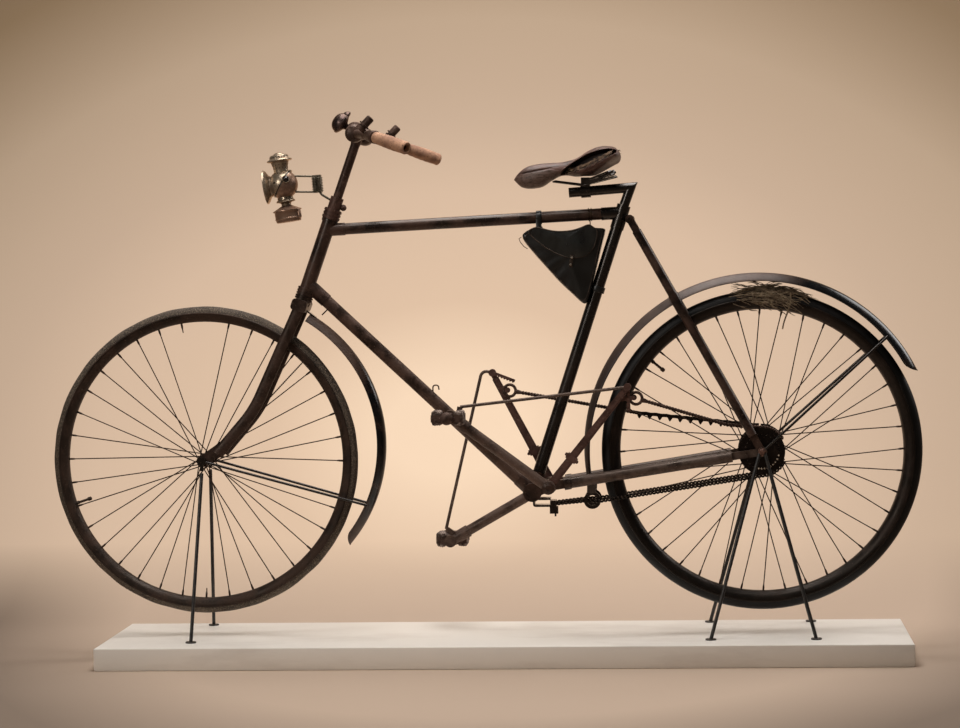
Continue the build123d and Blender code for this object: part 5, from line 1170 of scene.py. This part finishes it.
# Side; the ring's centre (x, z); the joint (x, z), from which the right chain is toothed; how far out
# from the drum's middle the joint lies; and a distance behind the ring's neck along the run.
DRIVE_CHAINS = {
    "left": (1, (-0.3036, 0.5820), (-0.506, 0.5195), 0.002, 0.075),
    "right": (-1, (-0.0130, 0.5980), (-0.300, 0.5445), 0.007, 0.24),
}
chain_link = aged_metal(
    "chain_link", (0.040, 0.024, 0.018), (0.085, 0.050, 0.038), (0.19, 0.135, 0.105),
    0.5, 0.4, (0.4, 0.65), 90.0)
chain_dark = aged_metal(
    "chain_dark", (0.008, 0.006, 0.005), (0.030, 0.019, 0.014), (0.085, 0.06, 0.048),
    0.58, 0.4, (0.32, 0.6), 60.0)


def twisted_strands(path, radius, thick, pitch, strands=2, sides=6):
    """Strands wound round a straight or gently bent path: each is a helix that turns once a pitch."""
    at = np.concatenate([[0.0], np.cumsum(np.linalg.norm(np.diff(path, axis=0), axis=1))])
    count = max(int(at[-1] / pitch * 10), 24)
    new = np.linspace(0.0, at[-1], count)
    line = np.stack([np.interp(new, at, path[:, k]) for k in range(3)], axis=1)
    along = np.gradient(line, axis=0)
    along /= np.linalg.norm(along, axis=1, keepdims=True)
    across = np.cross(along, (0.0, 1.0, 0.0))
    across /= np.linalg.norm(across, axis=1, keepdims=True)
    up = np.cross(along, across)
    shells = []
    for k in range(strands):
        turn = (new / pitch * 2 * math.pi + k * 2 * math.pi / strands)[:, None]
        wound = line + radius * (np.cos(turn) * across + np.sin(turn) * up)
        shells.append(sweep(wound, circle(thick, sides), (0, 1, 0)))
    return shells


def wound_on(side, start, end, radius, steps=26):
    """A path round the rear axle, at a drum's side of the wheel."""
    path = axle_of("rear") + radius * outward(np.linspace(start, end, steps))
    path[:, 1] = side * DRUM_Y
    return path


def toothed_chain(a, b, depth, thick):
    """A run of dark plates from a to b: a bar with a pointed tooth under every joint."""
    a, b = np.asarray(a, float), np.asarray(b, float)
    along = (b - a) / np.linalg.norm(b - a)
    up = np.cross(np.cross(along, (0.0, 0.0, 1.0)), along)
    up /= np.linalg.norm(up)
    side = np.cross(along, up)
    shells = []
    count = int(np.linalg.norm(b - a) / TOOTH_PITCH)
    pitch = np.linalg.norm(b - a) / count
    tooth, edge = -0.5 - TOOTH_HIGH / depth, -0.5 - 0.8 * TOOTH_HIGH / depth
    plate = np.array([
        (-0.002, 0.45), (0.0, 0.5), (pitch * 0.5, 0.36), (pitch, 0.5), (pitch + 0.002, 0.45),
        (pitch + 0.002, -0.45), (pitch * 0.66, -0.5), (pitch * 0.44, tooth), (pitch * 0.32, edge),
        (pitch * 0.16, -0.5), (-0.002, -0.45),
    ])
    for k in range(count):
        for shift in (-1, 1):
            edge = a + (plate[:, :1] + k * pitch) * along + plate[:, 1:] * depth * up
            face = [edge + side * (shift * thick * 0.27 + t) for t in (-thick * 0.16, thick * 0.16)]
            shells.append((np.stack(face), "tube"))
        pin = [(-thick * 0.62, 0.0011), (thick * 0.62, 0.0011)]
        shells.append(turned(a + (k * pitch + 0.001) * along, side, pin, 8))
    return shells


for name, (side, ring_xz, joint_xz, joint_out, bend_from) in DRIVE_CHAINS.items():
    ring_at = np.array([ring_xz[0], side * RING_Y, ring_xz[1]])
    drum_top = wound_on(side, 90.0, 90.0, CHAIN_WRAP_R, 1)[0] + (0.006, 0.0, 0.0)
    joint = np.array([joint_xz[0], side * (DRUM_Y + joint_out), joint_xz[1]])
    away = (joint - ring_at) / np.linalg.norm(joint - ring_at)
    neck = ring_at + away * 0.0165
    ring = ring_sweep(hoop(ring_at, np.array([0.0, 1.0, 0.0]), RING_R, 40), circle(RING_THICK, 10))
    shells = [ring, turned(neck, away, RING_NECK, 12)]
    run = np.stack([neck + away * 0.008, joint])
    if name == "left":
        run = np.concatenate([run, [drum_top], wound_on(side, 92.0, 150.0, CHAIN_WRAP_R)])
    shells += twisted_strands(run, 0.0022, 0.0025, 0.0135)
    drive = build(f"{name}_drive_chain", shells, chain_link)
    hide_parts(f"{name}_chain")
    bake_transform(drive)
    if name == "right":
        wrap = wound_on(side, 90.0, 150.0, CHAIN_WRAP_R)
        plates = toothed_chain(joint, drum_top, 0.0084, 0.0060)
        plates.append(sweep(wrap, rounded(0.0055, 0.0060, 0.0008, 2), (0, 1, 0)))
        add_piece("right_toothed_chain", plates, chain_dark, "frame")
# The drums' lower chains run forward, through the guides, to the yoke that ties them together.
RETURN_LINE = np.array([(-0.2170, 0.0385, 0.3510), (-0.1850, 0.0250, 0.3510), (-0.1120, 0.0140, 0.3435)])
returns = []
for side in (1, -1):
    back = wound_on(side, 205.0, 266.0, CHAIN_WRAP_R)
    run = np.concatenate([back, RETURN_LINE * (1.0, side, 1.0)])
    returns += twisted_strands(run, 0.0030, 0.0025, 0.0170)
add_piece("return_chain_cords", returns, chain_dark, "frame", "return_chain")

# ---- steering -----------------------------------------------------------------------------------
# The fork, head clip and stem are blackened steel rubbed to brown at their edges. The bars sweep
# back to cork grips, whose ends are open; a short post stands on each side of the bars.
fork_brown = aged_metal(
    "fork_brown", (0.020, 0.012, 0.009), (0.050, 0.029, 0.022), (0.12, 0.085, 0.066),
    0.5, 0.25, (0.34, 0.58), 24.0)
bar_steel = aged_metal(
    "bar_steel", (0.038, 0.022, 0.017), (0.080, 0.046, 0.035), (0.19, 0.13, 0.10),
    0.5, 0.3, (0.34, 0.6), 46.0)
finish_nodes("fork_crown fork_blades", fork_brown)
clip_red = aged_metal(
    "clip_red", (0.045, 0.024, 0.019), (0.085, 0.044, 0.034), (0.19, 0.12, 0.095),
    0.46, 0.2, (0.32, 0.55), 40.0)
finish_nodes("head_clip", clip_red)

GRIP_RINGS = 40
GRIP_MOUTH = ((0.0005, 0.0088), (0.012, 0.0082), (0.0125, 0.0005))  # how far in from the end, radius
# A black disc deep in each open grip end is painted shade of its hollow.
GRIP_MOUTH_SHADE = ((0.0120, 0.0080), (0.0105, 0.0078), (0.0100, 0.0010))
NEAR_START, NEAR_END = 0.0120, 0.0060  # the near grip's ends lie this much further up its bar
CORK, CORK_DARK, CORK_PIT = (0.50, 0.275, 0.165), (0.27, 0.135, 0.083), (0.07, 0.035, 0.022)
cork, tree, shader, place = new_material("grip_cork")
cells = noise(tree, place, 240.0, 4.0, 0.7)
cloud = noise(tree, place, 38.0, 6.0, 0.6)
toned = blended(tree, ramp(tree, cloud, [(0.40, 0.0), (0.68, 1.0)]), CORK, CORK_DARK)
toned = blended(tree, ramp(tree, cells, [(0.33, 1.0), (0.42, 0.0)]), toned, CORK_PIT)
surface(tree, shader, toned, 0.8)
relief(tree, shader, cells, 0.6, 0.0010)
solid_grips = nodes["grips"].data
points = np.empty(len(solid_grips.vertices) * 3, dtype=np.float32)
solid_grips.vertices.foreach_get("co", points)
points = points.reshape(-1, 3).astype(float)
grips, mouth_shades, grip_starts = [], [], []
for side in (1, -1):
    half = points[points[:, 1] * side > 0]
    way = np.linalg.svd(half - half.mean(axis=0), full_matrices=False)[2][0]
    way = way * -np.sign(way[0])
    reach = (half - half.mean(axis=0)) @ way
    start, end = half.mean(axis=0) + way * reach.min(), half.mean(axis=0) + way * reach.max()
    if side > 0:
        start, end = start - way * NEAR_START, end - way * NEAR_END
    grip_starts.append((side, start, way))
    share = np.linspace(0.0, 1.0, GRIP_RINGS)
    radius = 0.0124 + 0.0023 * np.sin(np.clip(share, 0, 0.9) * 2.6) + 0.00025 * np.sin(share * 41.0)
    radius -= 0.0007 * (gauss(share, 0.86, 0.012) + gauss(share, 0.80, 0.012))
    radius[0] -= 0.0012
    radius[-1] -= 0.0010
    length = np.linalg.norm(end - start)
    profile = [(s * length, r) for s, r in zip(share, radius)]
    profile += [(length - in_by, r) for in_by, r in GRIP_MOUTH]
    grips.append(turned(start, way, profile, 32))
    mouth_shades.append(turned(start, way, [(length - in_by, r) for in_by, r in GRIP_MOUTH_SHADE], 24))
add_piece("cork_grips", grips, cork, "steering", "grips", 45.0)
# Each bar runs out from the lug to a round elbow and sweeps back; a conical sleeve meets its grip.
BAR_R, ELBOW_SOFT, BAR_MIDDLE, ELBOW_AT = 0.0098, 0.030, (0.3205, 0.0, 1.1900), (0.3150, 0.0970, 1.1855)
SLEEVE = [(-0.052, 0.0099), (-0.050, 0.0112), (-0.030, 0.0128), (-0.006, 0.0146), (0.000, 0.0146),
          (0.003, 0.0130)]
ELBOW = [(-0.0210, 0.0120), (-0.0150, 0.0180), (-0.0060, 0.0208), (0.0060, 0.0208), (0.0120, 0.0185),
         (0.0150, 0.0150), (0.0165, 0.0145), (0.0180, 0.0090), (0.0185, 0.0010)]
bars = []
for side, start, way in grip_starts:
    middle, elbow = np.array(BAR_MIDDLE), np.array(ELBOW_AT) * (1, side, 1)
    inwards = (middle - elbow) / np.linalg.norm(middle - elbow)
    onwards = (start - elbow) / np.linalg.norm(start - elbow)
    share = np.linspace(0.0, 1.0, 14)[:, None]
    bend = (1 - share) ** 2 * (elbow + inwards * ELBOW_SOFT) + 2 * share * (1 - share) * elbow
    bend = bend + share**2 * (elbow + onwards * ELBOW_SOFT)
    bars.append(sweep(np.concatenate([[middle], bend, [start]]), circle(BAR_R, 24), (0, 0, 1)))
    bars.append(turned(start, onwards, SLEEVE, 28))
    bars.append(turned(elbow, (0, side, 0), ELBOW, 36))
add_piece("bars_and_elbows", bars, bar_steel, "steering", "handlebar")
# The stem runs straight up into a round lug, and a post stands on each bar.
STEM_FOOT, STEM_LEAN, STEM_R = np.array([0.4485, 0.0, 0.8230]), 19.8, 0.0105
STEM = [(0.2085, STEM_R), (0.36, STEM_R), (0.366, 0.0118), (0.386, 0.0125)]
LUG_AT = np.array([0.3240, 0.0, 1.1930])
LUG = [(-0.0300, 0.0100), (-0.0290, 0.0150), (-0.0240, 0.0205), (-0.0120, 0.0225), (0.0120, 0.0225),
       (0.0240, 0.0205), (0.0260, 0.0170), (0.0280, 0.0165), (0.0290, 0.0110)]
stem_up = np.array([-math.sin(math.radians(STEM_LEAN)), 0.0, math.cos(math.radians(STEM_LEAN))])
stem = [turned(STEM_FOOT, stem_up, STEM, 28), turned(LUG_AT, (0, 1, 0), LUG, 36)]
add_piece("stem_and_lug", stem, bar_steel, "steering", "stem", 35.0)
POST_WAY, POSTS_AT = np.array([-0.70, 0.0, 0.71]), ((1, 0.2878, 1.1905), (-1, 0.2724, 1.1880))  # side, x, z
POST = [(-0.004, 0.0110), (0.006, 0.0110), (0.0065, 0.0080), (0.009, 0.0080), (0.0095, 0.0125),
        (0.0125, 0.0125), (0.013, 0.0092), (0.030, 0.0092), (0.0325, 0.0082), (0.0335, 0.0060)]
post_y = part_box("bar_posts")[1].y * 0.93
posts = [turned((x, side * post_y, z), POST_WAY, POST, 28) for side, x, z in POSTS_AT]
add_piece("bar_post_knobs", posts, bar_steel, "steering", "bar_posts", 35.0)
# The grips' open ends are closed deep inside by black discs: painted shade.
add_piece("grip_mouth_shades", mouth_shades, enamel_black_and_shade, "steering")

# ---- bell ---------------------------------------------------------------------------------------
# A domed rotary bell of darkened nickel stands on the bar's lug, with its striker case behind. Both
# are spun shells that close round a flat foot.
bell_nickel = aged_metal(
    "bell_nickel", (0.060, 0.040, 0.036), (0.10, 0.066, 0.055), (0.20, 0.155, 0.13),
    0.55, 0.8, (0.26, 0.5), 40.0)
BELL_AT, BELL_UP = np.array([0.3553, 0.016, 1.2130]), np.array([0.78, 0.15, 0.60])
BELL_UP = BELL_UP / np.linalg.norm(BELL_UP)
BELL_BACK = np.cross(BELL_UP, (0.0, 1.0, 0.0))
BELL_BACK = BELL_BACK * np.sign(BELL_BACK[2]) / np.linalg.norm(BELL_BACK)
#       height, radius, in millimetres
DOME = [(-17.0, 6.0), (-12.0, 9.0), (-9.0, 17.0), (-6.0, 22.5), (-3.0, 25.0), (0.0, 25.6), (1.0, 25.0),
        (2.0, 23.8), (6.0, 22.8), (11.0, 20.0), (15.0, 15.6), (18.0, 9.6), (19.0, 4.0), (19.2, 0.5)]
LOBE = [(-4.0, 9.0), (-2.0, 12.4), (0.0, 12.8), (3.0, 12.0), (7.0, 9.4), (9.5, 5.6), (10.6, 0.5)]
LOBE_BACK, LOBE_DOWN = 0.0195, 0.002
bell = [turned(BELL_AT, BELL_UP, np.array(DOME) / 1000.0, 40)]
lobe_at = BELL_AT + BELL_BACK * LOBE_BACK - BELL_UP * LOBE_DOWN
bell.append(turned(lobe_at, BELL_UP, np.array(LOBE) / 1000.0, 24))
add_piece("bell_domes", bell, bell_nickel, "steering", "bell", 35.0)

# ---- oil lamp -----------------------------------------------------------------------------------
# A spun lamp of tarnished nickel over brass: a round body with a flared lens rim, a waisted chimney
# under a pierced cap, a burner gallery and a copper reservoir. A black glass jewel is in its side.
LAMP_AT, LAMP_TILT = np.array([0.4926, 0.0, 1.0769]), 8.0
LAMP_PEWTER, LAMP_SHADOW, LAMP_BRIGHT = (0.40, 0.32, 0.235), (0.23, 0.175, 0.125), (0.62, 0.53, 0.42)
COPPER, COPPER_DARK, COPPER_BRIGHT = (0.30, 0.19, 0.135), (0.16, 0.098, 0.072), (0.50, 0.37, 0.28)
lamp_metal = aged_metal(
    "lamp_metal", LAMP_PEWTER, LAMP_SHADOW, LAMP_BRIGHT, 0.58, 0.72, (0.26, 0.38), 26.0, 420.0)
lamp_copper = aged_metal(
    "lamp_copper", COPPER, COPPER_DARK, COPPER_BRIGHT, 0.56, 0.6, (0.30, 0.45), 26.0, 420.0)
tilt = math.radians(LAMP_TILT)
lamp_ahead = np.array([math.cos(tilt), 0.0, -math.sin(tilt)])
lamp_up = np.array([math.sin(tilt), 0.0, math.cos(tilt)])
lamp_side = np.array([0.0, 1.0, 0.0])
BODY_R = 0.0332
ball = np.linspace(-58.0, 60.0, 22)
body_line = [(BODY_R * math.sin(math.radians(a)), BODY_R * math.cos(math.radians(a))) for a in ball]
#               height, radius, in millimetres
CHIMNEY = [(26, 17.0), (33, 16.6), (42, 17.4), (50, 20.2), (52, 20.6), (53, 27.0), (54, 28.6),
           (56, 29.0), (57, 28.4), (59, 24.0), (60, 22.2), (66, 20.6), (68, 18.5), (69, 12.6),
           (70, 11.6), (72, 9.0), (73.4, 4.0), (73.6, 0.5)]
GALLERY = [(-26, 15.0), (-28, 17.2), (-34, 18.0), (-37, 20.8), (-38.5, 22.0), (-40, 21.6),
           (-41.5, 14.0), (-44, 11.2), (-48, 11.0), (-49, 12.4)]
RESERVOIR = [(-48.5, 10.0), (-50, 14.5), (-57, 28.5), (-59, 33.0), (-60.5, 33.2), (-61.5, 30.6),
             (-63, 29.8), (-76, 29.6), (-77, 30.4), (-79, 30.4), (-80, 29.2), (-85, 28.0), (-86, 26.5),
             (-86, 0.5)]
DISH = [(18, 23.0), (23, 21.6), (26, 21.8), (27, 24.0), (28.5, 24.0), (29, 23.0), (32, 28.0),
        (36, 35.0), (39.5, 38.6), (41.5, 39.0), (42, 37.8), (40.5, 36.4), (37, 33.0), (33, 27.0),
        (33, 1.0)]
LENS = [(33.5, 1.0), (33.5, 26.5), (36.5, 31.5), (38.5, 31.0), (40.5, 20.0), (41.2, 8.0), (41.4, 0.5)]


def lamp_turned(profile, way, sides=48):
    """A turned piece of the lamp on an axis through its middle; its profile is in millimetres."""
    return turned(LAMP_AT, way, np.array(profile) / 1000.0, sides)


def lamp_spots(rows, proud):
    """Small round plates round the lamp's upright axis: rows of (height, radius, how many, size)."""
    shells = []
    for high, radius, count, size in rows:
        for k in range(count):
            turn = (k + 0.5) * 2 * math.pi / count
            out = math.cos(turn) * lamp_ahead + math.sin(turn) * lamp_side
            foot = LAMP_AT + (high * lamp_up + radius * out) / 1000.0
            shells.append(turned(foot, out, [(-0.001, size), (proud, size)], 10))
    return shells


shell = [turned(LAMP_AT, lamp_up, body_line, 56)]
shell += [lamp_turned(CHIMNEY, lamp_up), lamp_turned(GALLERY, lamp_up), lamp_turned(DISH, lamp_ahead, 64)]
# A raised seam crosses each side from the hinge behind to the foot in front; the door is behind it.
DOOR_WAY = np.array([-0.87, 0.0, -0.49])
HINGE = [(-0.008, 0.0030), (0.008, 0.0030)]
FILLER = [(0.0, 0.0048), (0.014, 0.0048), (0.016, 0.0035), (0.0165, 0.001)]
seam = hoop(LAMP_AT - DOOR_WAY * 0.0010, DOOR_WAY, BODY_R + 0.0006, 72)
ridge = hoop(LAMP_AT - DOOR_WAY * 0.0034, DOOR_WAY, BODY_R + 0.0002, 72)
shell.append(ring_sweep(ridge, rounded(0.0036, 0.0024, 0.0008, 3)))
hinge = LAMP_AT + (BODY_R + 0.0016) * np.cross(lamp_side, DOOR_WAY)
shell.append(turned(hinge, lamp_side, HINGE, 14))
add_piece("lamp_shell", shell, lamp_metal, "steering", "lamp_body", 35.0)
door_turn = np.radians(np.linspace(2.0, 89.0, 20))
door = [((BODY_R + 0.0004) * math.sin(a), (BODY_R + 0.0004) * math.cos(a)) for a in door_turn]
door = [turned(LAMP_AT, DOOR_WAY, door, 56)]
add_piece("lamp_door", door, lamp_copper, "steering", smooth_below=50.0)
seam = [ring_sweep(seam, rounded(0.0018, 0.0022, 0.0006, 3))]
add_piece("lamp_door_seam", seam, enamel_black_and_shade, "steering")
reservoir = [lamp_turned(RESERVOIR, lamp_up)]
filler = LAMP_AT + (-27.5 * lamp_ahead + 11.0 * lamp_side - 78.0 * lamp_up) / 1000.0
reservoir.append(turned(filler, lamp_up, FILLER, 16))
add_piece("lamp_reservoir", reservoir, lamp_copper, "steering", smooth_below=35.0)
#            height, radius from the axis in millimetres, how many, and their radius in metres
AIR_HOLES = [(38.0, 16.9, 14, 0.0012), (45.5, 18.7, 14, 0.0011), (63.0, 21.3, 20, 0.0016),
             (-31.5, 17.7, 12, 0.0017)]
PEEP, PEEP_HOLE = np.array([0.0160, 0.0287, 0.0036]), [(-0.001, 0.0024), (0.0009, 0.0024)]
# The air holes and the peep hole aren't cut: black discs on the metal are painted shade of the openings.
hole_shades = lamp_spots(AIR_HOLES, 0.0002)
hole_shades.append(turned(LAMP_AT + PEEP, PEEP, PEEP_HOLE, 12))
add_piece("lamp_air_hole_shades", hole_shades, enamel_black_and_shade, "steering")
# A black glass jewel stands in a ring on each side, turned back and up from square.
JEWEL_BACK, JEWEL_UP = math.radians(22.0), math.radians(17.0)
JEWEL = [(0.0325, 0.0076), (0.0348, 0.0073), (0.0374, 0.0057), (0.0388, 0.0030), (0.0393, 0.0004)]
SETTING = [(0.0300, 0.0094), (0.0338, 0.0090), (0.0349, 0.0082), (0.0346, 0.0074), (0.0320, 0.0070)]
GLASS_BLACK, GLASS_RED = (0.002, 0.002, 0.002), (0.03, 0.012, 0.008)
black_glass, tree, shader, place = new_material("jewel_glass")
facets = noise(tree, place, 160.0, 2.0)
surface(tree, shader, ramp(tree, facets, [(0.45, GLASS_BLACK), (0.75, GLASS_RED)]), 0.06)
jewels, settings = [], []
for side in (1, -1):
    flat = -math.sin(JEWEL_BACK) * lamp_ahead + side * math.cos(JEWEL_BACK) * lamp_side
    out = math.cos(JEWEL_UP) * flat + math.sin(JEWEL_UP) * lamp_up
    jewels.append(turned(LAMP_AT, out, JEWEL, 24))
    settings.append(turned(LAMP_AT, out, SETTING, 24))
add_piece("lamp_jewels", jewels, black_glass, "steering", smooth_below=60.0)
add_piece("jewel_settings", settings, lamp_metal, "steering")
glass, tree, shader, place = new_material("lamp_glass")
shader.inputs["Base Color"].default_value = (0.80, 0.78, 0.72, 1.0)
tree.links.new(ramp(tree, noise(tree, place, 60.0), [(0.4, 0.05), (0.75, 0.25)]), shader.inputs["Roughness"])
shader.inputs["Transmission Weight"].default_value = 0.85
lens = [lamp_turned(LENS, lamp_ahead, 48)]
add_piece("lamp_front_glass", lens, glass, "steering", "lamp_lens")
# The lamp's bracket holds it through a block of four coil springs.
bracket_wire = aged_metal(
    "bracket_wire", (0.10, 0.09, 0.066), (0.17, 0.145, 0.11), (0.36, 0.31, 0.24),
    0.5, 0.4, (0.35, 0.6), 90.0)
finish_nodes("lamp_bracket", bracket_wire)
BLOCK_AT, BLOCK_TILT, BLOCK_RISE = np.array([0.4140, 0.0, 1.0770]), 4.0, 0.0165
COIL_TURNS, COIL_R, COIL_X, COIL_Y = 9, 0.0046, 0.0056, 0.0125
block_up = np.array([math.sin(math.radians(BLOCK_TILT)), 0.0, math.cos(math.radians(BLOCK_TILT))])
turn = np.linspace(0.0, COIL_TURNS * 2 * math.pi, COIL_TURNS * 12)[:, None]
rise = np.linspace(-BLOCK_RISE, BLOCK_RISE, COIL_TURNS * 12)[:, None]
coil = COIL_R * (np.cos(turn) * np.array([1.0, 0.0, 0.0]) + np.sin(turn) * lamp_side)
coils = []
for x in (-COIL_X, COIL_X):
    for y in (-COIL_Y, COIL_Y):
        middle = BLOCK_AT + np.array([x, y, 0.0]) + rise * block_up
        coils.append(sweep(middle + coil, circle(0.0011, 5), (0, 0, 1)))
add_piece("bracket_springs", coils, bracket_wire, "steering")

# ---- small wires --------------------------------------------------------------------------------
# Leftover bits of wire: a hook on the head, and the end of a broken front spoke, twisted back along
# its neighbour.
HEAD_HOOK = [(0.4400, 0.0190, 0.8120), (0.4360, 0.0205, 0.8090), (0.4345, 0.0205, 0.8040),
             (0.4365, 0.0205, 0.7990), (0.4400, 0.0205, 0.7985)]
FREE_FROM, FREE_TURN = 136.0, 74.0  # the free spoke's angle at the rim, and its turn to the hub
FREE_SHARE, FREE_OUT = 0.92, 0.020  # how much of the way it reaches, and how far out sideways


def bent_wire(points, radius, count=30, sides=6):
    """A round wire along a smooth curve through a few points."""
    points = np.asarray(points, float)
    at = np.arange(len(points))
    new = np.linspace(0, len(points) - 1, count)
    soft = np.stack([np.interp(new, at, points[:, k]) for k in range(3)], axis=1)
    for _ in range(3):
        soft[1:-1] = 0.25 * soft[:-2] + 0.5 * soft[1:-1] + 0.25 * soft[2:]
    return sweep(soft, circle(radius, sides), (0, 1, 0))


add_piece("head_hook", [bent_wire(HEAD_HOOK, 0.0010)], wire, "steering")
start = axle_of("front") + outward(FREE_FROM) * (WHEELS["front"]["circle"] - 0.0185)
finish = axle_of("front") + outward(FREE_FROM + FREE_TURN) * WHEELS["front"]["flange"] * 0.9
share = np.linspace(0.0, FREE_SHARE, 12)[:, None]
path = start + share * (finish - start)
path[:, 1] = FREE_OUT * share[:, 0]
add_piece("loose_spoke", twisted_strands(path, 0.0010, 0.0009, 0.010), wire, "front_wheel")
